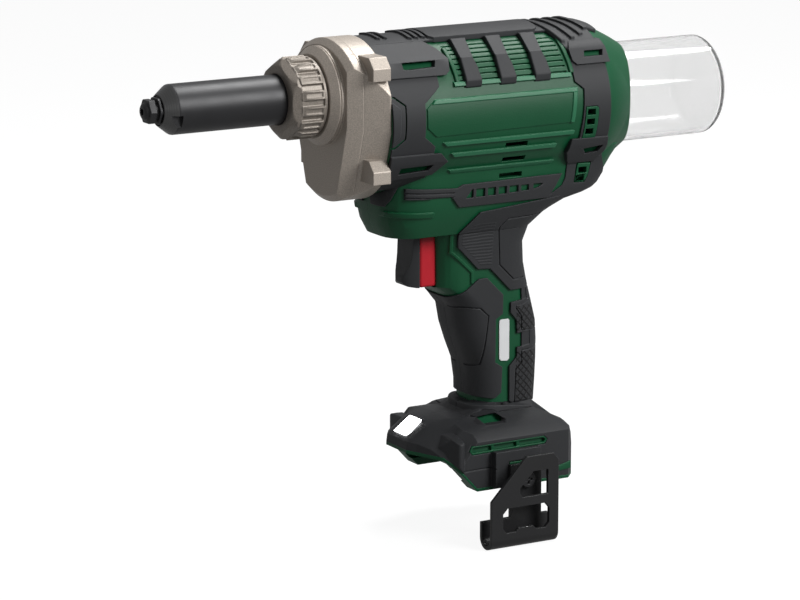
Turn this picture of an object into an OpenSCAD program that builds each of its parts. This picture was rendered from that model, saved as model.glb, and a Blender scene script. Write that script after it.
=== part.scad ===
// Cordless blind rivet tool, in millimetres.
// The origin is the nosepiece mouth on the pulling axis. +X runs along the pull
// to the mandrel container and +Z is up. The left side is -Y.

/* [Nose] */
// Diameter of the mandrel hole through the nosepiece
nose_bore_d = 3.2; // [2.4:0.1:4.5]
// Diameter of the rounded nosepiece tip
nose_tip_d = 9; // [8:0.1:10]
// Length of the rounded nosepiece tip
nose_tip_len = 2; // [1:0.5:3]
// Width across flats of the front hexagon
nose_hex_af = 11; // [10:0.1:12]
// Length of the front hexagon
nose_hex_len = 3.5; // [3:0.5:5]
// Width across flats of the rear hexagon
nose_flange_af = 13; // [12:0.1:14]
// Length of the rear hexagon
nose_flange_len = 2.5; // [2:0.5:4]
// Diameter of the nosepiece thread
nose_thread_d = 9.6; // [8.5:0.1:10.5]
// Length of the nosepiece thread
nose_thread_len = 16; // [14:0.5:16.5]
// Diameter of the nose sleeve
sleeve_d = 24; // [23:0.1:25]
// Diameter of the front end of the sleeve cone
sleeve_tip_d = 15.5; // [14:0.1:17]
// Length of the sleeve cone
sleeve_cone_len = 8; // [6:0.5:10]
// Length of the nose sleeve with its flange
sleeve_len = 70; // [67:0.5:71]
// Diameter of the flange that the collar nut clamps
sleeve_flange_d = 28; // [27:0.1:29]
// Length of the clamped flange
sleeve_flange_len = 4; // [3:0.1:4.5]
// Diameter of the sleeve bore that the jaw case runs in
sleeve_bore_d = 18; // [17.8:0.1:19]

/* [Collar nut] */
// Outer diameter of the collar nut over its ribs
collar_d = 40; // [38:0.1:42]
// Length of the collar nut
collar_len = 18; // [16:0.5:19]
// Length of the inward lip at the front of the collar nut
collar_lip_len = 3; // [2:0.1:4]
// Number of grip grooves round the collar nut
collar_grooves = 16; // [10:1:20]
// Depth of the grip grooves
collar_groove_depth = 1.6; // [0.8:0.1:2.2]
// Width of the grip grooves
collar_groove_w = 3.2; // [2:0.1:4]
// Length of the plain chamfer at the front of the collar nut
collar_chamfer = 3; // [1:0.1:4]

/* [Jaws and pull screw] */
// Pulling stroke
stroke = 25; // [15:0.5:25]
// Outer diameter of the jaw case
jaw_case_d = 17.2; // [16.8:0.1:17.4]
// Distance from the nosepiece mouth to the front of the jaw case
jaw_case_x = 27.5; // [27:0.1:29]
// Length of the jaw case
jaw_case_len = 42; // [40:0.5:43]
// Length of each jaw
jaw_len = 11.6; // [9:0.1:12.5]
// Outer radius of the jaws at their front
jaw_tip_r = 4.6; // [4.2:0.1:4.8]
// Half angle of the jaw cone
jaw_angle = 11; // [8:0.5:12]
// Angle that one jaw spans
jaw_span = 96; // [80:1:100]
// Radius of the mandrel hole between the open jaws
jaw_hole_r = 2; // [1.7:0.1:2.6]
// Travel of a jaw along the cone
jaw_travel = 2; // [1:0.1:2.2]
// Length of the jaw pusher
pusher_len = 5.5; // [4:0.1:6]
// Diameter of the pull screw over its thread
screw_d = 16; // [15.6:0.1:16.2]
// Diameter of the hole for spent mandrels
screw_bore_d = 6.4; // [5:0.1:7.5]
// Length of the threaded part of the pull screw
screw_thread_len = 50; // [49:0.5:52]
// Diameter of the neck screwed into the jaw case
screw_neck_d = 12; // [11:0.1:12.6]
// Length of the neck screwed into the jaw case
screw_neck_len = 11; // [8:0.5:12]
// Diameter of the screw tail in the guide tube
tail_d = 12; // [11:0.1:12.4]
// Length of the screw tail
tail_len = 43; // [42:0.5:46]
// Diameter of the guide pin that stops the screw turning
guide_pin_d = 2.8; // [2:0.1:3.2]
// Wall of the guide tube
guide_wall = 1.5; // [1:0.1:1.6]

/* [Gear case] */
// Distance from the nosepiece mouth to the front face of the gear case
case_x = 95; // [94.5:0.1:96]
// Height of the gear case
case_d = 79; // [78:0.5:81]
// Width of the gear case across its flat sides
case_w = 73; // [71:0.5:75]
// Length of the front half of the gear case
case_front_len = 7; // [5:0.1:8]
// Length of the whole gear case
case_len = 18; // [18:0.1:18.5]
// Wall of the gear case
case_wall = 3.5; // [3:0.1:4]
// Chamfer round the front of the gear case
case_chamfer = 3; // [1:0.1:3.5]
// Diameter of the boss behind the collar nut
boss_d = 48; // [46:0.5:49]
// Chamfer at the front of the boss
boss_chamfer = 2.5; // [1:0.1:3]
// Diameter of the threaded spigot inside the collar nut
spigot_d = 29.4; // [28.8:0.1:30]
// Height of an ear
ear_w = 11; // [10:0.5:12]
// Length of the ears
ear_len = 9.5; // [7:0.1:11]
// Height of the upper ears above the gear case middle
ear_rise = 28; // [26:0.5:29]
// Depth of the lower ears below the gear case middle
ear_drop = 21.5; // [20:0.5:23]
// Side reach of the ears from the middle plane
ear_reach = 36; // [34:0.5:37]

/* [Gear train] */
// Drop of the motor axis below the pulling axis
motor_drop = 27; // [26.8:0.05:27.2]
// Teeth of the output pinion
pinion_teeth = 12; // [11:1:13]
// Teeth of the drive gear
drive_teeth = 42; // [41:1:43]
// Face width of the drive gear
drive_gear_w = 8; // [6:0.5:8.4]
// Teeth of the sun gear
sun_teeth = 12; // [12:3:15]
// Teeth of each planet gear
planet_teeth = 24; // [21:3:24]
// Module of the planet stage
planet_module = 0.5; // [0.48:0.01:0.51]
// Face width of the planet gears
planet_w = 9; // [6:0.5:9.5]
// Outer diameter of the ring gear
ring_d = 35; // [34.6:0.1:35.2]
// Length of the ring gear
ring_len = 20; // [19:0.1:20]
// Outer diameter of the drive nut
nut_d = 22; // [21:0.1:22.4]
// Outer diameter of the flange of the drive nut
nut_flange_d = 30; // [28:0.5:31]
// Outer diameter of the two nut bearings
bearing_d = 32; // [31:0.1:33]
// Width of the rear nut bearing
nut_bearing_w = 7; // [5:0.1:7.2]
// Width of the front thrust bearing
thrust_bearing_w = 5.8; // [5:0.1:6]

/* [Motor] */
// Diameter of the motor can
motor_d = 35; // [33:0.1:35.4]
// Length of the motor can
motor_len = 57; // [50:0.5:58]
// Wall of the motor can
motor_wall = 2; // [1.2:0.1:2.5]
// Diameter of the motor shaft
motor_shaft_d = 3.2; // [3:0.1:4]
// Diameter of the rotor core
rotor_d = 24; // [20:0.5:26]
// Length of the rotor core
rotor_len = 36; // [28:0.5:37]
// Length of the motor end cap
end_cap_len = 6; // [4:0.5:8]

/* [Barrel] */
// Diameter of the clamshell barrel
barrel_d = 75; // [74:0.5:76]
// Drop of the barrel axis below the pulling axis
barrel_drop = 12; // [11.8:0.1:12.2]
// Length of the straight barrel
barrel_len = 123; // [122:0.5:125]
// Length of the rear dome
dome_len = 25; // [24:0.5:26]
// Diameter of the dome at the container mouth
dome_end_d = 53; // [52.6:0.1:55]
// Power of the dome curve, where one is a straight cone
dome_power = 1.35; // [1.1:0.05:2]
// Wall of the clamshell
shell_wall = 3; // [2.5:0.1:3.2]

/* [Soft bands] */
// Thickness of the thin bands
band_t = 1.3; // [0.8:0.1:1.6]
// Thickness of the bumpers and of the top band
bumper_t = 2.8; // [2:0.1:3.2]
// Half angle of the top band about the barrel axis
top_band_angle = 21; // [16:0.5:24]
// Width of one vent bar
bar_w = 8; // [6:0.5:9]
// Angle of the lower end of the vent bars about the barrel axis
bar_end_angle = 66; // [60:1:70]

/* [Handle] */
// Depth of the handle from front to back
grip_depth = 50; // [48:0.5:52]
// Height of the handle from its chin to the foot
grip_h = 108; // [106:0.5:110]
// Half width of the handle at its waist
grip_half_w = 16.5; // [16:0.1:18]
// Thickness of the grip pads
pad_t = 1.4; // [0.8:0.1:1.8]
// Thickness of the grip plate
plate_t = 0.6; // [0.4:0.1:1]

/* [Trigger] */
// Trigger travel
trigger_travel = 6; // [3:0.5:7]
// Width of the trigger
trigger_w = 19; // [17:0.5:20]
// Height of the trigger
trigger_h = 26; // [24:0.5:26.5]
// Reach of the trigger in front of the handle
trigger_len = 17; // [15:0.5:18]
// Length of the dark pad on the trigger front
trigger_pad_len = 7.2; // [5:0.1:8]
// Clearance between the trigger and its opening
trigger_gap = 0.4; // [0.3:0.05:0.6]

/* [Foot] */
// Length of the foot
foot_len = 85; // [83:0.5:87]
// Half width of the foot
foot_half_w = 34; // [33:0.5:35]
// Height of the foot
foot_h = 42; // [41:0.5:43]
// Thickness of the foot cover
cover_t = 2.2; // [1.5:0.1:2.6]
// Height of the bare rim under the foot cover
rim_h = 1.6; // [0.8:0.1:2.5]
// Half width of the battery slot above its rails
slot_half_w = 27; // [25:0.5:28]
// Half width of the battery slot between its rails
rail_half_w = 24; // [22:0.5:24.5]
// Height of the battery rails
rail_h = 4; // [3:0.1:5]
// Depth of the battery slot
slot_h = 14; // [12:0.5:15]
// Length of the work light lens up its slope
lens_len = 11; // [8:0.5:12]
// Width of the work light lens
lens_w = 18; // [12:0.5:19]
// Thickness of the work light lens
lens_t = 2.4; // [2:0.1:3]

/* [Belt hook] */
// Thickness of the hook plate
hook_t = 2; // [1.5:0.1:2.5]
// Width of the hook
hook_w = 38.5; // [34:0.5:40]
// Height of the outer hook plate
hook_h = 46; // [40:0.5:48]
// Gap of the hook for a belt
hook_gap = 7.5; // [6:0.1:9]
// Depth of the boss that carries the hook
hook_boss_t = 4.5; // [3:0.1:6]
// Diameter of the hook screw thread and of its spare hole
hook_screw_d = 4; // [3:0.1:5]

/* [Mandrel container] */
// Outer diameter of the container
container_d = 50; // [49:0.1:50.6]
// Length of the container
container_len = 73.8; // [70:0.1:80]
// Wall of the container
container_wall = 2; // [1.5:0.1:2.2]
// Radius of the container's end edge
container_fillet = 3; // [1:0.1:4]
// Length of the spigot that the container slides over
seat_len = 22; // [18:0.5:24]
// Wall of the spigot
seat_wall = 3; // [2.5:0.1:4]
// Section diameter of the container seal
seal_d = 1.9; // [1.6:0.1:2.2]

/* [Fits] */
// Gap of pieces that move past each other
move_gap = 0.3; // [0.25:0.01:0.4]
// Running clearance of a shaft in its bore
run_gap = 0.05; // [0.02:0.01:0.08]
// Overrun of cuts
over = 1; // [0.5:0.1:2]
// Gap between the two clamshell halves
split_gap = 0.1; // [0.05:0.01:0.2]

/* [Hidden] */
round_fn = 96;
seal_fn = 32;
thin = 0.01;

// Stations along the pulling axis
sleeve_x = nose_tip_len + nose_hex_len + nose_flange_len;
sleeve_end = sleeve_x + sleeve_len;
flange_x = sleeve_end - sleeve_flange_len;
collar_x = flange_x - move_gap - collar_lip_len;
collar_end = collar_x + collar_len;
spigot_x = sleeve_end + move_gap;
boss_x = collar_end + move_gap;
case_seam = case_x + case_front_len;
case_end = case_x + case_len;
case_mid_z = -barrel_drop;
shell_x = case_end;
dome_x = shell_x + barrel_len;
dome_end = dome_x + dome_len;
barrel_r = barrel_d / 2;
motor_z = -motor_drop;

// Gear cavity and drive nut
cavity_x = case_x + case_wall;
cavity_end = case_end - case_wall;
thrust_x = cavity_x - run_gap - thrust_bearing_w - over;
nut_flange_x = thrust_x + thrust_bearing_w + run_gap;
nut_flange_len = 2;
gear_x = nut_flange_x + nut_flange_len;
nut_bearing_x = cavity_end + run_gap;
hub_end = nut_bearing_x + nut_bearing_w + nut_flange_len;
nut_end = hub_end - nut_flange_len / 4;
nut_bore_r = screw_d / 2 + move_gap;
gear_module = 2 * motor_drop / (pinion_teeth + drive_teeth);
case_passage_r = jaw_case_d / 2 + 2 * move_gap;
hub_wall = 3;

// Planet stage
ring_teeth = sun_teeth + 2 * planet_teeth;
planet_orbit = planet_module * (sun_teeth + planet_teeth) / 2;
planet_count = 3;
ring_x = hub_end + move_gap;
ring_wall = 1.1;
carrier_x = ring_x + 2 * move_gap;
carrier_len = 3.5;
carrier_d = 26;
output_shaft_d = 8;
pinion_shaft_d = 6;
planet_pin_d = 3;
planet_x = carrier_x + carrier_len + move_gap;
sun_bore_r = motor_shaft_d / 2 + run_gap;
motor_x = ring_x + ring_len + move_gap;
motor_end = motor_x + motor_len;
rotor_x = motor_x + motor_len / 7;
fan_len = 6;
fan_blades = 9;
fan_blade_t = 1.2;
fan_d = rotor_d + 2 * over;
commutator_d = 9;
commutator_len = 5;
motor_front_wall = 2.5;

// Tooth form as shares of the pitch angle and of the module
tooth_root_share = 0.24;
tooth_tip_share = 0.1;
tooth_rise_share = 0.9;
tooth_drop_share = 1.2;

// Jaws and screw
jaw_mouth_len = 2.9;
jaw_x = jaw_case_x + jaw_mouth_len;
jaw_rear_r = jaw_tip_r + jaw_len * tan(jaw_angle);
jaw_bore_r = jaw_rear_r + move_gap;
pusher_x = jaw_x + jaw_len + move_gap;
pusher_end = pusher_x + pusher_len;
jaw_case_end = jaw_case_x + jaw_case_len;
neck_x = jaw_case_end - screw_neck_len;
neck_gap = run_gap;
thread_x = jaw_case_end + move_gap;
thread_end = thread_x + screw_thread_len;
tail_end = thread_end + tail_len;
guide_x = thread_end + stroke + over;
guide_r = tail_d / 2 + move_gap;
guide_pin_x = tail_end - 2 * guide_pin_d;
guide_slot_len = stroke + 4 * guide_pin_d;
guide_slot_w = guide_pin_d + 2 * move_gap;
spring_r = 6.2;
spring_wire = 1.4;

// Container and its seat
seat_inset = 4;
seat_x = dome_x + seat_inset - seat_wall;
guide_end = seat_x + seat_wall;
mouth_x = seat_x + seat_wall + move_gap;
container_r = container_d / 2;
container_in_r = container_r - container_wall;
spigot_r = container_in_r - 2 * move_gap;
seat_plate_r = barrel_r - shell_wall - seat_inset;
opening_r = container_r + 2 * move_gap;
seal_place_share = 0.7;
seal_x = mouth_x + seat_len * seal_place_share;
seal_r = container_in_r - run_gap - seal_d / 2;
seal_groove = seal_d + 2 * move_gap;

// Handle stations
grip_setback = 43;
grip_x = shell_x + grip_setback;
chin_drop = 46;
chin_z = case_mid_z - chin_drop;
chin_h = 13;
chin_setback = 9;
chin_front = shell_x + chin_setback;
chin_hollow_len = 70;
chin_hollow_half_w = 11;
trigger_top_gap = 1.3;
trigger_top = chin_z - chin_h - trigger_top_gap;
trigger_reach = 18.7;
trigger_x = grip_x - trigger_reach;
trigger_mid_x = trigger_x + trigger_pad_len;
opening_lead = 4;
opening_x = trigger_x + trigger_len - opening_lead;
foot_lead = 0.8;
foot_x = trigger_x - foot_lead;
foot_lap = 10;
foot_top = chin_z - grip_h + foot_lap;
foot_low = foot_top - foot_h;
slot_top = foot_low + slot_h;

// Handle slices: drop below the chin as a share of the handle height, front and
// rear edge as shares of the depth, half width as a share of the waist half width
chin_slice_shares = [
    [0.204, -0.69, 1.74, 1.733],
    [0.167, -0.69, 1.74, 1.64],
    [0.065, -0.71, 1.58, 1.6],
    [0, -0.7, 1.38, 1.52],
    [-0.06, -0.68, 1.14, 1.36],
    [-0.12, -0.62, 0.99, 1.18]];
handle_slice_shares = [
    [-0.05, -0.09, 1.18, 1.26],
    [-0.12, -0.09, 0.985, 1.16],
    [-0.2, -0.08, 0.915, 1.11],
    [-0.3, -0.08, 0.93, 1.06],
    [-0.375, -0.08, 0.965, 1.04],
    [-0.43, 0.08, 0.995, 1.03],
    [-0.49, 0.185, 1.03, 1.02],
    [-0.58, 0.22, 1.08, 1.01],
    [-0.67, 0.285, 1.092, 1],
    [-0.76, 0.362, 1.09, 1],
    [-0.86, 0.395, 1.08, 1],
    [-1, 0.4, 1.06, 1]];
hollow_slice_shares = [
    [-0.1, 0.1, 0.92, 0.92],
    [-0.2, 0.1, 0.86, 0.9],
    [-0.37, 0.12, 0.88, 0.86],
    [-0.49, 0.26, 0.96, 0.84],
    [-0.67, 0.36, 1.03, 0.83],
    [-0.76, 0.43, 1.03, 0.82],
    [-0.95, 0.46, 1.01, 0.82]];
corner_share = 0.72;
corner_steps = 6;

// Side outlines on the barrel, as shares of its length and radius
front_band_shares = [
    [0, 0.7], [0.203, 0.61], [0.203, 0.43], [0.142, 0.27], [0.142, -0.16],
    [0.195, -0.29], [0.195, -0.75], [0, -0.9]];
front_upper_shares = [[0, 0.925], [0.26, 0.925], [0.26, 0.6], [0, 0.6]];
front_lower_shares = [[0, -0.39], [0.23, -0.4], [0.26, -0.52], [0.21, -0.69], [0, -0.72]];
rear_band_shares = [
    [0.878, 0.85], [1, 0.85], [1, -0.95], [0.866, -0.95], [0.866, -0.27],
    [0.878, 0.27], [0.84, 0.37], [0.84, 0.59]];
rear_upper_shares = [[0.82, 0.89], [1, 0.89], [1, 0.6], [0.82, 0.6]];
rear_lower_shares = [[0.81, -0.39], [1, -0.4], [1, -0.57], [0.96, -0.69], [0.81, -0.69]];
strip_shares = [
    [0.09, -0.87], [0.34, -0.92], [0.366, -0.88], [0.825, -0.87], [0.768, -1.18],
    [0.354, -1.18], [0.317, -1.03], [0.09, -1.02]];

// Side outlines on the handle, as shares of its depth and height
thumb_shares = [
    [0.27, -0.02], [0.08, -0.116], [0.088, -0.185], [0.32, -0.296], [0.46, -0.3],
    [0.7, -0.412], [1.4, -0.412], [1.8, 0.02], [1.16, 0.02]];
palm_shares = [
    [-0.3, -0.435], [0.04, -0.435], [0.2, -0.39], [0.34, -0.343], [0.43, -0.343], [0.62, -0.43],
    [0.62, -0.52], [0.54, -0.542], [0.54, -0.745], [0.62, -0.77], [0.61, -0.89], [0.54, -0.917],
    [-0.3, -0.88]];
heel_shares = [
    [0.71, -0.472], [0.92, -0.462], [0.92, -0.418], [1.4, -0.418], [1.4, -0.95], [0.93, -0.958],
    [0.78, -0.965], [0.704, -0.935], [0.702, -0.772], [0.79, -0.731], [0.79, -0.687], [0.95, -0.68],
    [0.95, -0.615], [0.79, -0.62], [0.78, -0.556], [0.71, -0.52]];
plate_shares = [[0.59, -0.56], [0.69, -0.56], [0.69, -0.735], [0.59, -0.735]];

// Steps of round outlines
fan_steps = 6;
bar_count = 3;
bar_first_share = 0.378;
bar_pitch_share = 0.1585;
bar_x = barrel_len * bar_first_share;
bar_pitch = barrel_len * bar_pitch_share;
bar_start_gap = 0.6;
top_band_dome_share = 0.4;

// Trigger front, as shares of its reach and height, and the rounding of its sides as a share of the pad length
trigger_round_share = 0.9;
trigger_front_shares = [[0.22, 0], [0.135, -0.14], [0.06, -0.45], [0, -0.72], [0.07, -0.92], [0.28, -1]];

// Foot outlines, as shares of its length, half width and height
foot_side_shares = [
    [0, -0.45], [0.076, -0.155], [0.12, -0.107], [0.276, -0.048], [0.806, -0.095], [0.912, -0.262],
    [0.982, -0.476], [1, -0.62], [1, -1], [0.312, -1], [0.182, -0.714], [0.135, -0.62], [0, -0.583]];
foot_plan_shares = [
    [0, 0.29], [0.035, 0.41], [0.124, 0.765], [0.182, 0.94], [0.23, 1], [0.935, 1], [1, 0.82]];
long_slot_shares = [
    [0.26, -0.505], [0.279, -0.445], [0.768, -0.44], [0.79, -0.486], [0.774, -0.543], [0.276, -0.555]];
top_window_shares = [[0.4, -0.12], [0.53, -0.12], [0.57, -0.18], [0.55, -0.23], [0.42, -0.23]];
// Flat cuts from the light hood to the sides: a place on the cut, and its turn and lean
foot_bevel_shares = [0.03, 0.32, -0.15];
foot_bevel_turn = 54;
foot_bevel_lean = 23;
foot_end_shares = [[0, 0], [0.41, -0.048], [0.706, -0.167], [0.91, -0.3], [1, -0.405], [1, -1.1]];

// Screws of the clamshell: along the barrel and handle
shell_screw_d = 3;
shell_screw_head_d = 6;
shell_screw_head_len = 2.5;
shell_screw_len = 22;
shell_screw_seat = 10;
shell_boss_d = 7.4;
shell_boss_len = 14;
shell_screw_barrel_shares = [[0.3, 0.78], [0.614, 0.78]];
shell_screw_grip_shares = [[-0.46, -0.075], [0.3, -0.44], [0.91, -0.645], [0.6, -0.9]];
shell_screw_foot_shares = [[0.17, -0.42], [0.9, -0.5]];
shell_screw_spots = concat(
    [for (s = shell_screw_barrel_shares) [shell_x + s[0] * barrel_len, case_mid_z + s[1] * barrel_r]],
    [for (s = shell_screw_grip_shares) [grip_x + s[0] * grip_depth, chin_z + s[1] * grip_h]],
    [for (s = shell_screw_foot_shares) [foot_x + s[0] * foot_len, foot_top + s[1] * foot_h]]);
case_front_share = 0.35;
case_taper_len = 17.5;
case_corner_tilt = 17;
case_corner_turn = 32;
ear_face_share = 0.55;
ear_slope_share = 0.4;
case_screw_d = 3;
case_screw_head_d = 5.4;
case_screw_head_len = 2.6;
case_screw_side_shares = [0.16, 0.33];
case_screw_sides = [for (s = case_screw_side_shares) case_w * s];
case_screw_rise_share = 0.253;
case_screw_rise = case_d * case_screw_rise_share;
case_pillar_d = 6;

// Switch, board and terminals
switch_setback = 16;
switch_x = grip_x + switch_setback;
switch_len = 23;
switch_half_w = 9;
switch_h = trigger_h - over;
stem_w = 6;
stem_len = trigger_travel + over;
stem_z = trigger_top - trigger_h / 2;
trigger_rear = switch_x - stem_len;
board_place_share = 0.46;
board_x = grip_x + grip_depth * board_place_share;
board_len = 18;
board_t = 1.6;
board_top_share = 0.48;
board_top = chin_z - grip_h * board_top_share;
board_rib_shares = [0.2, 0.85];
board_h = 36;
rib_t = 2;
terminal_len = 28;
terminal_half_w = 20;
terminal_h = 8;
terminal_x = foot_x + foot_len - 2 * shell_wall - over - terminal_len;
blade_count = 4;
blade_len = 13;
blade_t = 0.8;
blade_h = 5;

// Belt hook
hook_place_share = 0.297;
hook_x = foot_x + foot_len * hook_place_share;
hook_inner_y = -foot_half_w - hook_boss_t;
hook_drop = 27;
hook_low = foot_low - hook_drop;
hook_boss_h = 18;
hook_boss_len = 26;
hook_boss_share = 0.24;
hook_boss_x = hook_x + hook_w * hook_boss_share;
hook_screw_share = 0.66;
hook_screw_x = hook_x + hook_w * hook_screw_share;
hook_screw_rise = 5;
hook_screw_z = foot_low + hook_screw_rise;
hook_tab_w = 18;
hook_screw_head_d = 8;
hook_screw_head_len = 2.4;
hook_screw_len = 10;
hook_bend_r = hook_gap / 2 + hook_t;
hook_bend_share = hook_bend_r / hook_h;
hook_wide_share = 0.29;
hook_plate_shares = [
    [0, hook_bend_share], [0, 0.55], [0.52, 1], [0.92, 1], [1, 0.92], [1, hook_bend_share]];
hook_upper_window_shares = [[0.42, 0.6], [0.42, 0.66], [0.62, 0.83], [0.84, 0.83], [0.84, 0.56], [0.46, 0.56]];
hook_lower_window_shares = [
    [0.17, 0.24], [0.17, 0.4], [0.24, 0.46], [0.8, 0.46], [0.86, 0.4], [0.86, 0.24],
    [0.8, 0.19], [0.66, 0.19], [0.62, 0.23], [0.4, 0.23], [0.36, 0.19], [0.22, 0.19]];

// Work light
lens_proud = 0.5;
lens_slope_shares = [0.076, 0.295];
lens_mid_shares = [0.038, 0.3];
lens_x = foot_x + foot_len * lens_mid_shares[0];
lens_z = foot_top - foot_h * lens_mid_shares[1];
lens_slope = atan2(foot_h * lens_slope_shares[1], foot_len * lens_slope_shares[0]);

// Shared shapes
module rod_x(x, len, r, z = 0, fn = round_fn) {
    translate([x, 0, z]) rotate([0, 90, 0]) cylinder(h = len, r = r, $fn = fn);
}

module turned(points, z = 0) {
    translate([0, 0, z]) rotate([0, 90, 0]) rotate_extrude($fn = round_fn) polygon(points);
}

module tube_x(x, len, r_out, r_in, z = 0) {
    turned([[r_in, x], [r_out, x], [r_out, x + len], [r_in, x + len]], z);
}

module hex_x(x, len, af) {
    rod_x(x, len, af / 2 / cos(30), 0, 6);
}

module side_plate(points, y_low, y_high) {
    translate([0, y_high, 0]) rotate([90, 0, 0]) linear_extrude(y_high - y_low) polygon(points);
}

module box(x, y, z, low_corner) {
    translate(low_corner) cube([x, y, z]);
}

module mirrored_pair() {
    children();
    mirror([0, 1, 0]) children();
}

// Gear outlines: rise is one for outside teeth and minus one for inside teeth
function gear_points(teeth, module_size, rise = 1, turn = 0) = [
    for (i = [0:teeth - 1])
        for (c = [[-tooth_root_share, 0], [-tooth_tip_share, 1], [tooth_tip_share, 1], [tooth_root_share, 0]])
            let (a = turn + (i + c[0]) * 360 / teeth,
                 lift = c[1] * tooth_rise_share - (1 - c[1]) * tooth_drop_share,
                 r = module_size * (teeth / 2 + rise * lift))
                [r * cos(a), r * sin(a)]];

module gear_wheel(x, len, teeth, module_size, bore_r, z, turn = 0) {
    translate([x, 0, z]) rotate([0, 90, 0]) difference() {
        linear_extrude(len) polygon(gear_points(teeth, module_size, 1, turn));
        translate([0, 0, -over]) cylinder(h = len + 2 * over, r = bore_r, $fn = round_fn);
    }
}

// Nose
module nosepiece() {
    color("#2b2b2d") difference() {
        union() {
            turned([[0, 0], [nose_tip_d / 2 - nose_tip_len / 2, 0], [nose_tip_d / 2, nose_tip_len / 2],
                [nose_tip_d / 2, nose_tip_len + over], [0, nose_tip_len + over]]);
            hex_x(nose_tip_len, nose_hex_len + thin, nose_hex_af);
            hex_x(nose_tip_len + nose_hex_len, nose_flange_len, nose_flange_af);
            rod_x(sleeve_x - over, nose_thread_len + over, nose_thread_d / 2);
        }
        rod_x(-over, sleeve_x + nose_thread_len + 2 * over, nose_bore_d / 2);
    }
}

module nose_sleeve() {
    bore_x = sleeve_x + nose_thread_len + over;
    color("#1d1d1f") turned([
        [nose_thread_d / 2 + run_gap, sleeve_x],
        [sleeve_tip_d / 2, sleeve_x],
        [sleeve_d / 2, sleeve_x + sleeve_cone_len],
        [sleeve_d / 2, flange_x],
        [sleeve_flange_d / 2, flange_x],
        [sleeve_flange_d / 2, sleeve_end],
        [sleeve_bore_d / 2, sleeve_end],
        [sleeve_bore_d / 2, bore_x],
        [nose_thread_d / 2 + run_gap, bore_x]]);
}

module collar_nut() {
    lip_r = sleeve_d / 2 + move_gap;
    inner_r = spigot_d / 2 + move_gap;
    color("#8d877f") difference() {
        turned([
            [lip_r, collar_x],
            [collar_d / 2 - collar_chamfer, collar_x],
            [collar_d / 2, collar_x + collar_chamfer],
            [collar_d / 2, collar_end],
            [inner_r, collar_end],
            [inner_r, flange_x - move_gap],
            [lip_r, flange_x - move_gap]]);
        for (i = [0:collar_grooves - 1])
            rotate([i * 360 / collar_grooves, 0, 0])
                box(collar_len, collar_groove_w, collar_groove_depth + over,
                    [collar_x + collar_chamfer, -collar_groove_w / 2, collar_d / 2 - collar_groove_depth]);
    }
}

// Jaw set
module jaw_case() {
    mouth_r = jaw_tip_r + move_gap / 2;
    color("#9a9a9c") turned([
        [mouth_r, jaw_case_x],
        [jaw_case_d / 2, jaw_case_x],
        [jaw_case_d / 2, jaw_case_end],
        [screw_neck_d / 2 + neck_gap, jaw_case_end],
        [screw_neck_d / 2 + neck_gap, neck_x],
        [jaw_bore_r, neck_x],
        [jaw_bore_r, jaw_x + jaw_len],
        [jaw_tip_r + move_gap, jaw_x],
        [mouth_r, jaw_x]]);
}

module jaw(turn) {
    half = jaw_span / 2;
    reach = 2 * jaw_rear_r;
    color("#6f7073") rotate([turn, 0, 0]) intersection() {
        turned([[jaw_hole_r, jaw_x], [jaw_tip_r, jaw_x], [jaw_rear_r, jaw_x + jaw_len], [jaw_hole_r, jaw_x + jaw_len]]);
        translate([jaw_x - over, 0, 0]) rotate([90, 0, 90]) linear_extrude(jaw_len + 2 * over)
            polygon([[0, 0], [-reach * sin(half), reach * cos(half)], [0, reach], [reach * sin(half), reach * cos(half)]]);
    }
}

module jaw_1() { jaw(0); }
module jaw_2() { jaw(120); }
module jaw_3() { jaw(240); }

module jaw_pusher() {
    color("#b08d4a") tube_x(pusher_x, pusher_len, jaw_bore_r - 3 * move_gap, screw_bore_d / 2);
}

module pusher_spring() {
    color("#c8c8ca") tube_x(pusher_end + run_gap, neck_x - pusher_end - 2 * run_gap, spring_r, spring_r - spring_wire);
}

module pull_screw() {
    color("#a6a7aa") difference() {
        turned([
            [screw_bore_d / 2, neck_x],
            [screw_neck_d / 2, neck_x],
            [screw_neck_d / 2, thread_x],
            [screw_d / 2, thread_x],
            [screw_d / 2, thread_end],
            [tail_d / 2, thread_end],
            [tail_d / 2, tail_end],
            [screw_bore_d / 2, tail_end]]);
        translate([guide_pin_x, 0, 0]) cylinder(h = tail_d, r = guide_pin_d / 2 + run_gap, $fn = round_fn);
    }
}

module guide_pin() {
    color("#c0c0c2") translate([guide_pin_x, 0, screw_bore_d / 2 + run_gap])
        cylinder(h = guide_r + guide_wall - screw_bore_d / 2, r = guide_pin_d / 2, $fn = round_fn);
}

module guide_tube() {
    color("#b9babd") difference() {
        tube_x(guide_x, guide_end - guide_x, guide_r + guide_wall, guide_r);
        box(guide_slot_len, guide_slot_w, guide_r + guide_wall + over,
            [guide_pin_x - 2 * guide_pin_d, -guide_slot_w / 2, 0]);
    }
}

// Drive nut and its bearings
module drive_nut() {
    color("#8f9092") turned([
        [nut_bore_r, nut_flange_x],
        [nut_flange_d / 2, nut_flange_x],
        [nut_flange_d / 2, gear_x],
        [nut_d / 2, gear_x],
        [nut_d / 2, nut_end],
        [nut_bore_r, nut_end]]);
}

module drive_gear() {
    color("#7d7e80") gear_wheel(gear_x, drive_gear_w, drive_teeth, gear_module, nut_d / 2 + run_gap / 2, 0);
}

module thrust_bearing() {
    color("#c9cacc") tube_x(thrust_x, thrust_bearing_w, bearing_d / 2 - run_gap, case_passage_r + run_gap);
}

module nut_bearing() {
    color("#c9cacc") tube_x(nut_bearing_x, nut_bearing_w, bearing_d / 2 - run_gap, nut_d / 2 + run_gap);
}

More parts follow.
